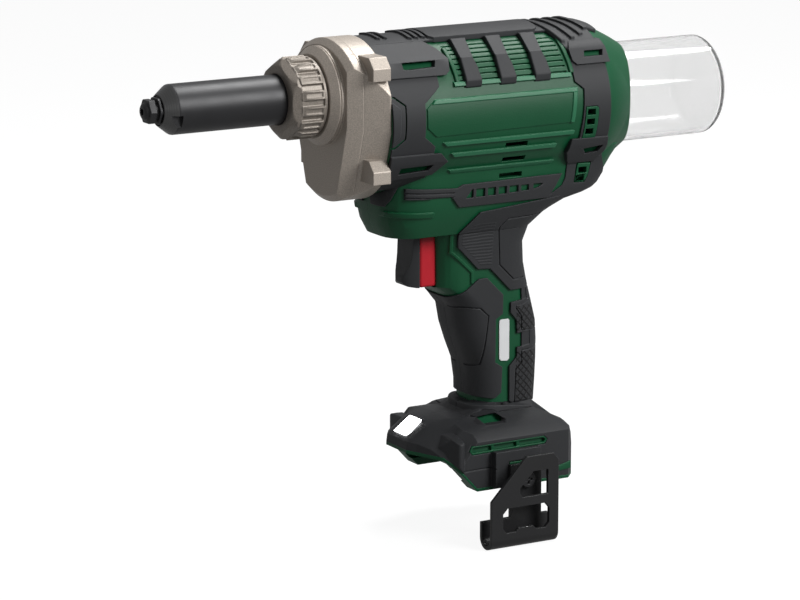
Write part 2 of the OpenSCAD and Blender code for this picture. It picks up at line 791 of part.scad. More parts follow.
// Gear case
module case_block(x, len, chamfer) {
    r = case_d / 2;
    intersection() {
        turned([[0, x], [r - chamfer, x], [r, x + chamfer], [r, x + len], [0, x + len]], case_mid_z);
        box(len + 2 * over, case_w, case_d + 2 * over, [x - over, -case_w / 2, case_mid_z - r - over]);
        case_taper(0);
    }
}

// Sides that narrow to the front of the case, and flat cuts at its lower front corners
module case_taper(wall) {
    front = case_w * case_front_share - wall;
    wide = case_w / 2 - wall;
    taper_x = case_x + case_taper_len;
    end = case_end + case_len;
    difference() {
        translate([0, 0, case_mid_z - case_d]) linear_extrude(2 * case_d)
            polygon([[case_x, -front], [taper_x, -wide], [end, -wide], [end, wide], [taper_x, wide], [case_x, front]]);
        case_corner(wall);
        mirror([0, 1, 0]) case_corner(wall);
    }
}

module case_corner(wall) {
    translate([case_x, -case_w * case_front_share, case_mid_z])
        rotate([case_corner_tilt, 0, 0]) rotate([0, 0, 270 - case_corner_turn])
            box(2 * case_d, 4 * case_d, 4 * case_d, [-wall, -2 * case_d, -2 * case_d]);
}

module case_cavity(x, len) {
    r = case_d / 2 - case_wall;
    intersection() {
        rod_x(x, len, r, case_mid_z);
        box(len + 2 * over, case_w - 2 * case_wall, case_d, [x - over, -case_w / 2 + case_wall, case_mid_z - case_d / 2]);
        case_taper(case_wall);
    }
}

module case_screw_spots(x) {
    for (side = [-1, 1])
        for (i = [0, 1])
            translate([x, side * case_screw_sides[i], case_mid_z + (2 * i - 1) * case_screw_rise])
                rotate([0, 90, 0]) children();
}

module case_hollow(x, len) {
    difference() {
        case_cavity(x, len);
        case_screw_spots(x - over) cylinder(h = len + 2 * over, r = case_pillar_d / 2, $fn = round_fn);
    }
}

module gear_case_front() {
    color("#a39c92") difference() {
        union() {
            case_block(case_x, case_front_len, case_chamfer);
            turned([
                [0, boss_x],
                [boss_d / 2 - boss_chamfer, boss_x],
                [boss_d / 2, boss_x + boss_chamfer],
                [boss_d / 2, case_x + over],
                [0, case_x + over]]);
            rod_x(spigot_x, boss_x - spigot_x + over, spigot_d / 2);
        }
        rod_x(spigot_x - over, case_x - spigot_x, case_passage_r);
        rod_x(thrust_x - run_gap, case_len, bearing_d / 2);
        case_hollow(cavity_x, case_len);
        rod_x(cavity_x - pinion_shaft_d / 3, case_len, pinion_shaft_d / 2 + run_gap, motor_z);
        case_screw_spots(case_x + case_wall / 2) cylinder(h = case_len, r = case_screw_d / 2 + run_gap, $fn = round_fn);
    }
}

// Ear with a flat outer face and a slanted top
module ear(low) {
    inner = -ear_reach / 2;
    top = low + ear_w;
    translate([case_end - ear_len, 0, 0]) rotate([90, 0, 90]) linear_extrude(ear_len)
        polygon([
            [-ear_reach, low],
            [inner, low],
            [inner, top],
            [-ear_reach + ear_w * ear_slope_share, top],
            [-ear_reach, low + ear_w * ear_face_share]]);
}

module gear_case_rear() {
    color("#a39c92") difference() {
        union() {
            case_block(case_seam, case_end - case_seam, 0);
            mirrored_pair()
                for (rise = [-ear_drop, ear_rise]) ear(case_mid_z + rise - ear_w / 2);
            rod_x(case_seam, hub_end - case_seam, bearing_d / 2 + hub_wall);
            rod_x(case_seam, hub_end - case_seam, output_shaft_d / 2 + hub_wall, motor_z);
        }
        case_hollow(case_seam - over, cavity_end - case_seam + over);
        rod_x(case_seam - over, nut_bearing_x + nut_bearing_w + run_gap - case_seam + over, bearing_d / 2);
        rod_x(case_x, case_len + hub_end, nut_d / 2 + move_gap);
        rod_x(case_seam - over, hub_end - case_seam + 2 * over, output_shaft_d / 2 + run_gap, motor_z);
        case_screw_spots(case_seam - over) cylinder(h = case_len, r = case_screw_d / 2 + run_gap, $fn = round_fn);
    }
}

module gear_case_screws() {
    shank_x = case_x + case_wall / 2 + over;
    color("#5d5d60") {
        case_screw_spots(shank_x) cylinder(h = case_end + thin - shank_x, r = case_screw_d / 2, $fn = round_fn);
        case_screw_spots(case_end) cylinder(h = case_screw_head_len, r = case_screw_head_d / 2, $fn = round_fn);
    }
}

// Planet stage
module output_pinion() {
    color("#8a8b8d") gear_wheel(gear_x, drive_gear_w, pinion_teeth, gear_module,
        pinion_shaft_d / 2 + run_gap / 2, motor_z, 180 + 180 / pinion_teeth);
}

module planet_spots() {
    for (i = [0:planet_count - 1])
        translate([0, 0, motor_z]) rotate([i * 360 / planet_count, 0, 0]) translate([0, 0, -planet_orbit]) children();
}

module planet_carrier() {
    stub_x = cavity_x - pinion_shaft_d / 3 + move_gap;
    color("#77787a") {
        rod_x(stub_x, nut_bearing_x - stub_x, pinion_shaft_d / 2, motor_z);
        rod_x(nut_bearing_x - thin, carrier_x + thin - nut_bearing_x + thin, output_shaft_d / 2, motor_z);
        rod_x(carrier_x, carrier_len, carrier_d / 2, motor_z);
        planet_spots() rod_x(planet_x - over, planet_w + over, planet_pin_d / 2);
    }
}

module planet_gear(i) {
    color("#96979a") translate([0, 0, motor_z]) rotate([i * 360 / planet_count, 0, 0])
        gear_wheel(planet_x, planet_w, planet_teeth, planet_module, planet_pin_d / 2 + run_gap,
            -planet_orbit, 180 + 180 / planet_teeth);
}

module planet_gear_1() { planet_gear(0); }
module planet_gear_2() { planet_gear(1); }
module planet_gear_3() { planet_gear(2); }

module ring_gear() {
    color("#6a6b6e") {
        tube_x(ring_x, ring_len, ring_d / 2, ring_d / 2 - ring_wall, motor_z);
        translate([planet_x, 0, motor_z]) rotate([0, 90, 0]) linear_extrude(planet_w) difference() {
            circle(r = ring_d / 2 - ring_wall / 2, $fn = round_fn);
            polygon(gear_points(ring_teeth, planet_module, -1));
        }
    }
}

module sun_gear() {
    color("#b59a4e") gear_wheel(planet_x, planet_w, sun_teeth, planet_module, sun_bore_r, motor_z);
}

// Motor
module motor_rotor() {
    shaft_x = planet_x + move_gap;
    fan_x = rotor_x + rotor_len;
    color("#84684a") {
        rod_x(shaft_x, motor_end + end_cap_len / 2 - shaft_x, motor_shaft_d / 2, motor_z);
        rod_x(rotor_x, rotor_len, rotor_d / 2, motor_z);
        rod_x(fan_x - thin, commutator_len + fan_len, commutator_d / 2, motor_z);
        for (i = [0:fan_blades - 1])
            translate([fan_x - thin, 0, motor_z]) rotate([i * 360 / fan_blades, 0, 0])
                box(fan_len, fan_blade_t, fan_d / 2, [0, -fan_blade_t / 2, 0]);
    }
}

module motor_can() {
    color("#8b8c8f") turned([
        [motor_shaft_d / 2 + run_gap, motor_x],
        [motor_d / 2, motor_x],
        [motor_d / 2, motor_end],
        [motor_d / 2 - motor_wall, motor_end],
        [motor_d / 2 - motor_wall, motor_x + motor_front_wall],
        [motor_shaft_d / 2 + run_gap, motor_x + motor_front_wall]], motor_z);
}

module motor_end_cap() {
    color("#2f3033") turned([
        [0, motor_end + end_cap_len],
        [motor_d / 2 - over, motor_end + end_cap_len],
        [motor_d / 2, motor_end + end_cap_len - over],
        [motor_d / 2, motor_end],
        [motor_shaft_d / 2 + run_gap, motor_end],
        [motor_shaft_d / 2 + run_gap, motor_end + end_cap_len / 2 + move_gap],
        [0, motor_end + end_cap_len / 2 + move_gap]], motor_z);
}

// Clamshell barrel: grow thickens it evenly
dome_steps = 6;

function dome_points(grow) = [
    for (i = [1:dome_steps])
        let (t = i / dome_steps)
            [dome_end_d / 2 + grow + (barrel_r - dome_end_d / 2) * (1 - pow(t, dome_power)), dome_x + dome_len * t]];

module barrel(grow) {
    turned(concat([[0, shell_x], [barrel_r + grow, shell_x], [barrel_r + grow, dome_x]],
        dome_points(grow), [[0, dome_end]]), case_mid_z);
}

module barrel_hollow() {
    inner_r = barrel_r - shell_wall;
    seat_end = seat_x + seat_wall;
    turned([
        [0, shell_x - over],
        [inner_r, shell_x - over],
        [inner_r, dome_x - shell_wall],
        [seat_plate_r + run_gap, dome_x],
        [seat_plate_r + run_gap, seat_end],
        [opening_r, seat_end],
        [opening_r, dome_end + over],
        [0, dome_end + over]], case_mid_z);
}

// Handle: slices with round corners, joined from the top down by a triangulated skin
function slice_z(s) = chin_z + s[0] * grip_h;

function corner_points(x, y, r, start) = [
    for (i = [0:corner_steps])
        let (a = start + 90 * i / corner_steps)
            [x + r * cos(a), y + r * sin(a)]];

function ring_points(s, grow) =
    let (half_w = s[3] * grip_half_w + grow,
         r = half_w * corner_share,
         side = half_w - r,
         front = grip_x + s[1] * grip_depth - grow + r,
         rear = grip_x + s[2] * grip_depth + grow - r,
         ring = concat(corner_points(rear, side, r, 0), corner_points(front, side, r, 90),
             corner_points(front, -side, r, 180), corner_points(rear, -side, r, 270)))
        [for (p = ring) [p[0], p[1], slice_z(s)]];

module skin_of(slices, grow) {
    n = 4 * (corner_steps + 1);
    last = len(slices) - 1;
    polyhedron(
        points = [for (s = slices) each ring_points(s, grow)],
        faces = concat(
            [[for (j = [n - 1:-1:0]) j]],
            [for (k = [0:last - 1]) for (j = [0:n - 1])
                [k * n + j, k * n + (j + 1) % n, (k + 1) * n + (j + 1) % n]],
            [for (k = [0:last - 1]) for (j = [0:n - 1])
                [k * n + j, (k + 1) * n + (j + 1) % n, (k + 1) * n + j]],
            [[for (j = [0:n - 1]) last * n + j]]));
}

module chin(grow) { skin_of(chin_slice_shares, grow); }

module handle(grow) { skin_of(handle_slice_shares, grow); }

// Foot: three outlines crossed
function foot_side(grow) = [
    for (s = foot_side_shares)
        [foot_x - grow + s[0] * (foot_len + 2 * grow), foot_top + grow + s[1] * (foot_h + grow)]];

module foot(grow) {
    plan = [for (s = foot_plan_shares)
        [foot_x - grow + s[0] * (foot_len + 2 * grow), s[1] * (foot_half_w + grow)]];
    plan_back = [for (i = [len(plan) - 1:-1:0]) [plan[i][0], -plan[i][1]]];
    end = [for (s = foot_end_shares) [s[0] * (foot_half_w + grow), foot_top + grow + s[1] * foot_h]];
    end_back = [for (i = [len(end) - 1:-1:1]) [-end[i][0], end[i][1]]];
    difference() {
        intersection() {
            side_plate(foot_side(grow), -2 * foot_half_w, 2 * foot_half_w);
            translate([0, 0, foot_low - foot_h]) linear_extrude(3 * foot_h) polygon(concat(plan, plan_back));
            translate([foot_x - foot_len, 0, 0]) rotate([90, 0, 90]) linear_extrude(3 * foot_len)
                polygon(concat(end, end_back));
        }
        foot_bevel(grow);
        mirror([0, 1, 0]) foot_bevel(grow);
    }
}

module foot_bevel(grow) {
    spot = foot_bevel_shares;
    translate([foot_x + spot[0] * foot_len, -spot[1] * foot_half_w, foot_top + spot[2] * foot_h])
        rotate([0, -foot_bevel_lean, 180 + foot_bevel_turn])
            box(foot_len, 2 * foot_len, 2 * foot_len, [grow, -foot_len, -foot_len]);
}

module foot_cap() {
    translate([0, 0, rim_h]) side_plate(foot_side(0), -2 * foot_half_w, 2 * foot_half_w);
}

module foot_core() {
    foot(-cover_t);
    difference() {
        foot(0);
        foot_cap();
    }
}

module foot_hollow() {
    wall = 2 * shell_wall;
    box(foot_len - 5 * wall, 2 * rail_half_w, foot_h / 4, [foot_x + 3 * wall, -rail_half_w, slot_top + shell_wall]);
    box(foot_len - wall, 2 * slot_half_w, slot_h - rail_h, [foot_x - over, -slot_half_w, foot_low + rail_h]);
    box(foot_len - wall, 2 * rail_half_w, slot_h, [foot_x - over, -rail_half_w, slot_top - slot_h - over]);
}

module lens_slab(gap) {
    translate([lens_x, 0, lens_z]) rotate([0, -lens_slope, 0])
        translate([-lens_len / 2 - gap, -lens_w / 2 - gap, lens_proud - lens_t - gap])
            cube([lens_len + 2 * gap, lens_w + 2 * gap, lens_t + 2 * gap]);
}

module hook_hole(r, depth) {
    translate([hook_screw_x, hook_inner_y - over, hook_screw_z]) rotate([-90, 0, 0])
        cylinder(h = depth + over, r = r, $fn = round_fn);
}

// Clamshell halves
module shell_outer() {
    barrel(0);
    chin(0);
    handle(0);
    foot_core();
}

module handle_hollow() {
    skin_of(hollow_slice_shares, 0);
    box(chin_hollow_len, 2 * chin_hollow_half_w, 2 * chin_h,
        [chin_front + 3 * shell_wall, -chin_hollow_half_w, chin_z - chin_h + shell_wall]);
}

module trigger_opening() {
    box(trigger_rear - opening_x, trigger_w + 2 * trigger_gap, trigger_h + 2 * trigger_gap,
        [opening_x, -trigger_w / 2 - trigger_gap, trigger_top - trigger_h - trigger_gap]);
}

module at_shell_screws() {
    for (spot = shell_screw_spots)
        translate([spot[0], 0, spot[1]]) rotate([90, 0, 0]) children();
}

module shell_ribs() {
    box(rib_t, grip_half_w - switch_half_w, switch_h,
        [switch_x + switch_len / 2, -grip_half_w, trigger_top - switch_h]);
}

module board_ribs() {
    for (s = board_rib_shares)
        box(board_len, grip_half_w - board_t / 2, rib_t, [board_x, -grip_half_w, board_top - s * board_h]);
}

module half_shell() {
    difference() {
        union() {
            difference() {
                shell_outer();
                barrel_hollow();
                handle_hollow();
                foot_hollow();
                trigger_opening();
            }
            at_shell_screws() cylinder(h = shell_boss_len, r = shell_boss_d / 2, $fn = round_fn);
            shell_ribs();
        }
        lens_slab(run_gap);
        hook_hole(hook_screw_d / 2 + 2 * move_gap, hook_boss_t + hook_screw_len / 2);
        box(dome_end + foot_len, foot_len, 2 * dome_end, [0, -split_gap / 2, -dome_end]);
    }
}

module left_shell() {
    color("#0e4a30") difference() {
        union() {
            half_shell();
            intersection() {
                board_ribs();
                handle(-shell_wall / 2);
            }
        }
        at_shell_screws() cylinder(h = shell_screw_len - shell_screw_seat + over, r = shell_screw_d / 2 + run_gap,
            $fn = round_fn);
    }
}

module screw_access() {
    mirror([0, 1, 0]) at_shell_screws() translate([0, 0, shell_screw_seat])
        cylinder(h = foot_len, r = shell_screw_head_d / 2 + move_gap, $fn = round_fn);
}

module right_shell() {
    color("#0e4a30") difference() {
        mirror([0, 1, 0]) half_shell();
        mirror([0, 1, 0]) at_shell_screws()
            cylinder(h = shell_screw_seat + over, r = shell_screw_d / 2 + run_gap, $fn = round_fn);
        screw_access();
    }
}

module shell_screws() {
    color("#4a4a4d") translate([0, shell_screw_seat, 0]) {
        at_shell_screws() cylinder(h = shell_screw_len, r = shell_screw_d / 2, $fn = round_fn);
        mirror([0, 1, 0]) at_shell_screws()
            cylinder(h = shell_screw_head_len, r = shell_screw_head_d / 2, $fn = round_fn);
    }
}

// Soft bands on the barrel
function barrel_side(shares) = [
    for (s = shares) [shell_x + s[0] * barrel_len, case_mid_z + s[1] * barrel_r]];

function fan_points(low_angle, high_angle, r) = concat([[0, 0]], [
    for (i = [0:fan_steps])
        let (a = low_angle + (high_angle - low_angle) * i / fan_steps)
            [-r * sin(a), r * cos(a)]]);

module fan_wedge(x, len, low_angle, high_angle) {
    translate([x, 0, case_mid_z]) rotate([90, 0, 90]) linear_extrude(len)
        polygon(fan_points(low_angle, high_angle, barrel_d));
}

module barrel_skin(shares, t) {
    intersection() {
        side_plate(barrel_side(shares), -barrel_d, -split_gap / 2);
        barrel(t);
    }
}

module top_band() {
    color("#3a3b3d") difference() {
        intersection() {
            barrel(bumper_t);
            fan_wedge(shell_x, barrel_len + dome_len * top_band_dome_share, -top_band_angle, top_band_angle);
        }
        barrel(0);
    }
}

module front_bumper() {
    difference() {
        union() {
            barrel_skin(front_band_shares, band_t);
            barrel_skin(front_upper_shares, bumper_t);
            barrel_skin(front_lower_shares, bumper_t);
        }
        barrel(0);
        chin(0);
    }
}

module left_front_bumper() { color("#3a3b3d") front_bumper(); }
module right_front_bumper() { color("#3a3b3d") mirror([0, 1, 0]) front_bumper(); }

module rear_bumper() {
    difference() {
        union() {
            barrel_skin(rear_band_shares, band_t);
            barrel_skin(rear_upper_shares, bumper_t);
            barrel_skin(rear_lower_shares, bumper_t);
        }
        barrel(0);
        chin(0);
    }
}

module left_rear_bumper() { color("#3a3b3d") rear_bumper(); }
module right_rear_bumper() { color("#3a3b3d") mirror([0, 1, 0]) rear_bumper(); }

module vent_bars() {
    for (i = [0:bar_count - 1])
        difference() {
            intersection() {
                barrel(bumper_t);
                fan_wedge(shell_x + bar_x + i * bar_pitch - bar_w / 2, bar_w, top_band_angle + bar_start_gap,
                    bar_end_angle);
            }
            barrel(0);
        }
}

module left_vent_bars() { color("#3a3b3d") vent_bars(); }
module right_vent_bars() { color("#3a3b3d") mirror([0, 1, 0]) vent_bars(); }

module side_strip() {
    difference() {
        intersection() {
            side_plate(barrel_side(strip_shares), -barrel_d, -barrel_r / 4);
            chin(band_t);
        }
        chin(0);
        barrel(0);
    }
}

module left_side_strip() { color("#3a3b3d") side_strip(); }
module right_side_strip() { color("#3a3b3d") mirror([0, 1, 0]) side_strip(); }

// Grip pads
function grip_side(shares) = [
    for (s = shares) [grip_x + s[0] * grip_depth, chin_z + s[1] * grip_h]];

module thumb_skin(grow) {
    chin(grow);
    handle(grow);
}

module thumb_pad() {
    difference() {
        intersection() {
            side_plate(grip_side(thumb_shares), -barrel_d, -split_gap / 2);
            thumb_skin(pad_t);
        }
        thumb_skin(0);
    }
}

module left_thumb_pad() { color("#333436") thumb_pad(); }
module right_thumb_pad() { color("#333436") mirror([0, 1, 0]) thumb_pad(); }

module grip_pads() {
    difference() {
        intersection() {
            union()
                for (shares = [palm_shares, heel_shares])
                    side_plate(grip_side(shares), -barrel_d, -split_gap / 2);
            handle(pad_t);
        }
        handle(0);
        foot(move_gap);
    }
}

module left_grip_pads() { color("#333436") grip_pads(); }

module right_grip_pads() {
    color("#333436") difference() {
        mirror([0, 1, 0]) grip_pads();
        screw_access();
    }
}

module grip_plate() {
    color("#d9dadb") difference() {
        intersection() {
            side_plate(grip_side(plate_shares), -barrel_d, 0);
            handle(plate_t);
        }
        handle(0);
    }
}

// Trigger and switch
module trigger_pad() {
    front = [for (s = trigger_front_shares) [trigger_x + s[0] * trigger_len, trigger_top + s[1] * trigger_h]];
    color("#2c2d2f") intersection() {
        side_plate(concat(front,
            [[trigger_mid_x, trigger_top - trigger_h], [trigger_mid_x, trigger_top]]), -trigger_w / 2, trigger_w / 2);
        translate([0, 0, trigger_top - 2 * trigger_h]) linear_extrude(3 * trigger_h)
            polygon(concat([[trigger_mid_x, -trigger_w / 2]],
                [for (i = [0:fan_steps]) trigger_round(90 * i / fan_steps, -1)],
                [for (i = [fan_steps:-1:0]) trigger_round(90 * i / fan_steps, 1)],
                [[trigger_mid_x, trigger_w / 2]]));
    }
}

function trigger_round(a, side) =
    let (r = trigger_pad_len * trigger_round_share)
        [trigger_x + r - r * sin(a), side * (trigger_w / 2 - r + r * cos(a))];

module trigger() {
    color("#b3202a") {
        box(trigger_rear - trigger_mid_x, trigger_w, trigger_h,
            [trigger_mid_x, -trigger_w / 2, trigger_top - trigger_h]);
        box(stem_len + over, stem_w, stem_w, [trigger_rear - over, -stem_w / 2, stem_z - stem_w / 2]);
    }
}

module switch_box() {
    hole_w = stem_w + 2 * move_gap;
    color("#202123") difference() {
        box(switch_len, 2 * switch_half_w, switch_h, [switch_x, -switch_half_w, trigger_top - switch_h]);
        box(stem_len + 2 * over, hole_w, hole_w, [switch_x - over, -hole_w / 2, stem_z - hole_w / 2]);
    }
}

module control_board() {
    color("#1f5a3a") box(board_len, board_t, board_h, [board_x, -board_t / 2, board_top - board_h]);
}

// Foot pieces
module hook_boss() {
    box(hook_boss_len, hook_boss_t + cover_t, hook_boss_h,
        [hook_boss_x, hook_inner_y, foot_low + rim_h]);
}

module foot_cover() {
    difference() {
        union() {
            intersection() {
                foot(0);
                foot_cap();
            }
            hook_boss();
        }
        foot(-cover_t);
        handle(run_gap);
        lens_slab(run_gap);
        hook_hole(hook_screw_d / 2 + run_gap, hook_boss_t + foot_half_w / 2);
        side_plate(foot_window_points(long_slot_shares), -foot_half_w - over, -foot_half_w / 2);
        side_plate(foot_window_points(top_window_shares), -foot_half_w - over, -foot_half_w / 4);
        box(2 * foot_len, 2 * foot_half_w, 3 * foot_h, [foot_x - over, -split_gap / 2, foot_low - foot_h]);
    }
}

function foot_window_points(shares) = [
    for (s = shares) [foot_x + s[0] * foot_len, foot_top + s[1] * foot_h]];

module left_foot_cover() { color("#3d3e40") foot_cover(); }
module right_foot_cover() { color("#3d3e40") mirror([0, 1, 0]) foot_cover(); }

module work_light_lens() { color("#eef2f4") lens_slab(0); }

module terminal_block() {
    color("#26272a") box(terminal_len, 2 * terminal_half_w, terminal_h,
        [terminal_x, -terminal_half_w, slot_top - terminal_h]);
}

module terminal_blades() {
    pitch = 2 * terminal_half_w / blade_count;
    color("#b98f45")
        for (i = [0:blade_count - 1])
            box(blade_len, blade_t, blade_h, [terminal_x - blade_len,
                -terminal_half_w + (i + 1 / 2) * pitch - blade_t / 2, slot_top - (terminal_h + blade_h) / 2]);
}

// Belt hook: tab, round bend and outer plate
function hook_points(shares) = [
    for (s = shares) [hook_x + s[0] * hook_w, hook_low + s[1] * hook_h]];

module belt_hook() {
    bend_z = hook_low + hook_bend_r;
    bend_y = hook_inner_y - hook_t - hook_gap / 2;
    outer_y = hook_inner_y - 2 * hook_t - hook_gap;
    tab_x = hook_screw_x - hook_tab_w / 2;
    tab_top = hook_screw_z + hook_screw_head_d;
    wide_top = hook_low + hook_wide_share * hook_h;
    color("#151516") difference() {
        union() {
            side_plate(hook_points(hook_plate_shares), outer_y, outer_y + hook_t);
            box(hook_w, hook_t, wide_top - bend_z, [hook_x, hook_inner_y - hook_t, bend_z]);
            box(hook_tab_w, hook_t, tab_top - bend_z, [tab_x, hook_inner_y - hook_t, bend_z]);
            difference() {
                translate([0, bend_y, 0]) rod_x(hook_x, hook_w, hook_bend_r, bend_z);
                translate([0, bend_y, 0]) rod_x(hook_x - over, hook_w + 2 * over, hook_gap / 2, bend_z);
                box(hook_w + 2 * over, 3 * hook_bend_r, 2 * hook_bend_r,
                    [hook_x - over, bend_y - 3 / 2 * hook_bend_r, bend_z]);
            }
        }
        side_plate(hook_points(hook_upper_window_shares), outer_y - over, outer_y + hook_t + over);
        side_plate(hook_points(hook_lower_window_shares), outer_y - over, outer_y + hook_t + over);
        hook_hole(hook_screw_d / 2 + run_gap, over);
        translate([0, -hook_t - over, 0]) hook_hole(hook_screw_d / 2 + run_gap, hook_t + 2 * over);
    }
}

module hook_screw() {
    color("#3b3b3d") translate([hook_screw_x, hook_inner_y - hook_t, hook_screw_z]) rotate([-90, 0, 0]) {
        cylinder(h = hook_screw_len, r = hook_screw_d / 2, $fn = round_fn);
        translate([0, 0, -hook_screw_head_len]) cylinder(h = hook_screw_head_len, r = hook_screw_head_d / 2,
            $fn = round_fn);
    }
}

// Mandrel container
module container_seat() {
    seat_end = seat_x + seat_wall;
    color("#2a2b2d") difference() {
        turned([
            [0, seat_x],
            [seat_plate_r, seat_x],
            [seat_plate_r, seat_end],
            [spigot_r, seat_end],
            [spigot_r, seat_end + seat_len],
            [spigot_r - seat_wall, seat_end + seat_len],
            [spigot_r - seat_wall, seat_end],
            [0, seat_end]], case_mid_z);
        rod_x(seat_x - over, seat_wall + 2 * over, guide_r + guide_wall + run_gap);
        tube_x(seal_x - seal_groove / 2, seal_groove, container_r, seal_r - seal_d / 2 - run_gap, case_mid_z);
    }
}

module container_seal() {
    color("#111112") translate([seal_x, 0, case_mid_z]) rotate([0, 90, 0]) rotate_extrude($fn = round_fn)
        translate([seal_r, 0]) circle(r = seal_d / 2, $fn = seal_fn);
}

module container() {
    end_x = mouth_x + container_len;
    f = container_fillet;
    fillet = [for (i = [0:fan_steps])
        let (a = 90 * i / fan_steps)
            [container_r - f + f * cos(a), end_x - f + f * sin(a)]];
    color([0.85, 0.88, 0.9, 0.4]) turned(concat(
        [[container_in_r, mouth_x], [container_r, mouth_x]], fillet,
        [[0, end_x], [0, end_x - container_wall], [container_in_r, end_x - container_wall]]), case_mid_z);
}

nosepiece();
nose_sleeve();
collar_nut();
jaw_case();
jaw_1();
jaw_2();
jaw_3();
jaw_pusher();
pusher_spring();
pull_screw();
guide_pin();
guide_tube();
drive_nut();
drive_gear();
thrust_bearing();
nut_bearing();
gear_case_front();
gear_case_rear();
gear_case_screws();
output_pinion();
planet_carrier();
planet_gear_1();
planet_gear_2();
planet_gear_3();
ring_gear();
sun_gear();
motor_rotor();
motor_can();
motor_end_cap();
left_shell();
right_shell();
shell_screws();
top_band();
left_front_bumper();
right_front_bumper();
left_rear_bumper();
right_rear_bumper();
left_vent_bars();
right_vent_bars();
left_side_strip();
right_side_strip();
left_thumb_pad();
right_thumb_pad();
left_grip_pads();
right_grip_pads();
grip_plate();
trigger();
trigger_pad();
switch_box();
control_board();
left_foot_cover();
right_foot_cover();
work_light_lens();
terminal_block();
terminal_blades();
belt_hook();
hook_screw();
container_seat();
container_seal();
container();
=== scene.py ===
import math

import bpy
from mathutils import Matrix, Vector


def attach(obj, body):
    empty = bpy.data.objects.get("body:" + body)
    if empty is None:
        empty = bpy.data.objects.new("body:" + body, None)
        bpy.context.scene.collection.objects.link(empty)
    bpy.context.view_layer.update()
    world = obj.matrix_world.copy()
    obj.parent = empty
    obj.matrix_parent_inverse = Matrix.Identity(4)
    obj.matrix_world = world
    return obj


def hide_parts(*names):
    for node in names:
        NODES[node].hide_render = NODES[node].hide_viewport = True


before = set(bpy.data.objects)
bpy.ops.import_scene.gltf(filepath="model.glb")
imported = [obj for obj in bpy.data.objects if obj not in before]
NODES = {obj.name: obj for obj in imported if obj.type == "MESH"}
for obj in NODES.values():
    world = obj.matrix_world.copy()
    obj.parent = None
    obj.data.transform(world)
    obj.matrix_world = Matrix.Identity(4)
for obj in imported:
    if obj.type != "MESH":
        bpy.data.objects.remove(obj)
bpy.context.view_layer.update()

bl_info = {
    "name": "Battery rivet tool",
    "version": (1, 0, 0),
    "blender": (4, 5, 0),
    "location": "View3D > Sidebar > Rivet tool",
    "description": "Dresses the packed rivet tool with its moulded, cast and turned pieces",
    "category": "Object",
}

MM = 0.001
BARREL_Z = -12.0
BARREL_R = 37.5
BARREL_FRONT = 113.0
BARREL_END = 236.0
BARREL_STEPS = 144
# Gap between the shell and what is moulded over it
CLEAR = 0.05
SIDES = (("left", 1), ("right", -1))

# Handle slices as in the solids: height, front, rear and half width in millimetres
CHIN = ((-35.97, 121.5, 243, 28.6), (-39.96, 121.5, 243, 27.06), (-50.98, 120.5, 235, 26.4),
        (-58, 121, 225, 25.08), (-64.48, 122, 213, 22.44), (-70.96, 125, 205.5, 19.47))
GRIP = ((-63.4, 151.5, 215, 20.79), (-70.96, 151.5, 205.25, 19.14), (-79.6, 152, 201.75, 18.32),
        (-90.4, 152, 202.5, 17.49), (-98.5, 152, 204.25, 17.16), (-104.44, 160, 205.75, 17.0),
        (-110.92, 165.25, 207.5, 16.83), (-120.64, 167, 210, 16.67), (-130.36, 170.25, 210.6, 16.5),
        (-140.08, 174.1, 210.5, 16.5), (-150.88, 175.75, 210, 16.5), (-166, 176, 209, 16.5))
# The fuller rear corner under the barrel: height, front, rear and half width
TAIL = ((-33, 150, 256.5, 28.4), (-36, 150, 255, 28.4), (-40, 150, 252.4, 26.86), (-45, 150, 249, 26.56),
        (-49, 150, 246, 26.3), (-52.2, 150, 243.8, 25.97), (-54.4, 150, 241, 25.55),
        (-56, 150, 236.5, 25.25), (-58.4, 150, 226, 24.8), (-64.5, 150, 213.2, 22.3))
# Rear vent cells of each side: left edge and top
REAR_CELLS = ((222.2, -11.9), (222.0, -16.8), (221.8, -21.7), (224.1, -42.6), (222.9, -46.6))
# Screw places of the right half in the side view
SCREWS = ((149.9, 17.25), (188.52, 17.25), (133.0, -66.1), (171.0, -105.52), (201.5, -127.66),
          (186.0, -155.2))
# The handle where it enters the foot, and the rear of the foot's hood
NECK_FRONT, NECK_REAR, NECK_HALF, HOOD_REAR = 175.9, 209.2, 16.6, 169.5
# Cuts through the hood that let it bend, along X and out from the middle, in metres
HOOD_CUTS_X = (0.144, 0.150, 0.158, 0.169)
HOOD_CUTS_Y = (0.0105, 0.0145, 0.02, 0.027)
# Opening of the work light in metres: rear, half width, middle height, and its move up and back
LENS_REAR, LENS_HALF, LENS_MIDDLE, LENS_SHIFT = 0.152, 0.009, -0.169, 0.0016
# The container's seat and seal are drawn shorter behind this X in metres, by this share
SEAT_START, SEAT_SHARE = 0.241, 0.52
# Camera solved from the photograph, and the floor under the hook, in metres; the lens in millimetres
CAMERA_PLACE = (-0.7349, -1.5132, 0.2869)
CAMERA_RIGHT = (0.8660254, -0.5, 0.0)
CAMERA_UP = (0.1095, 0.18966, 0.97573)
CAMERA_LENS = 164.25
FLOOR_Z = -0.2252
LAMP_AIM = (0.17, 0, -0.05)
# Share of the white surroundings that glossy rays see
GLOSS_SHARE = 0.3


def length(name, text, default):
    """A length property in metres."""
    return bpy.props.FloatProperty(name=name, description=text, default=default, unit="LENGTH")


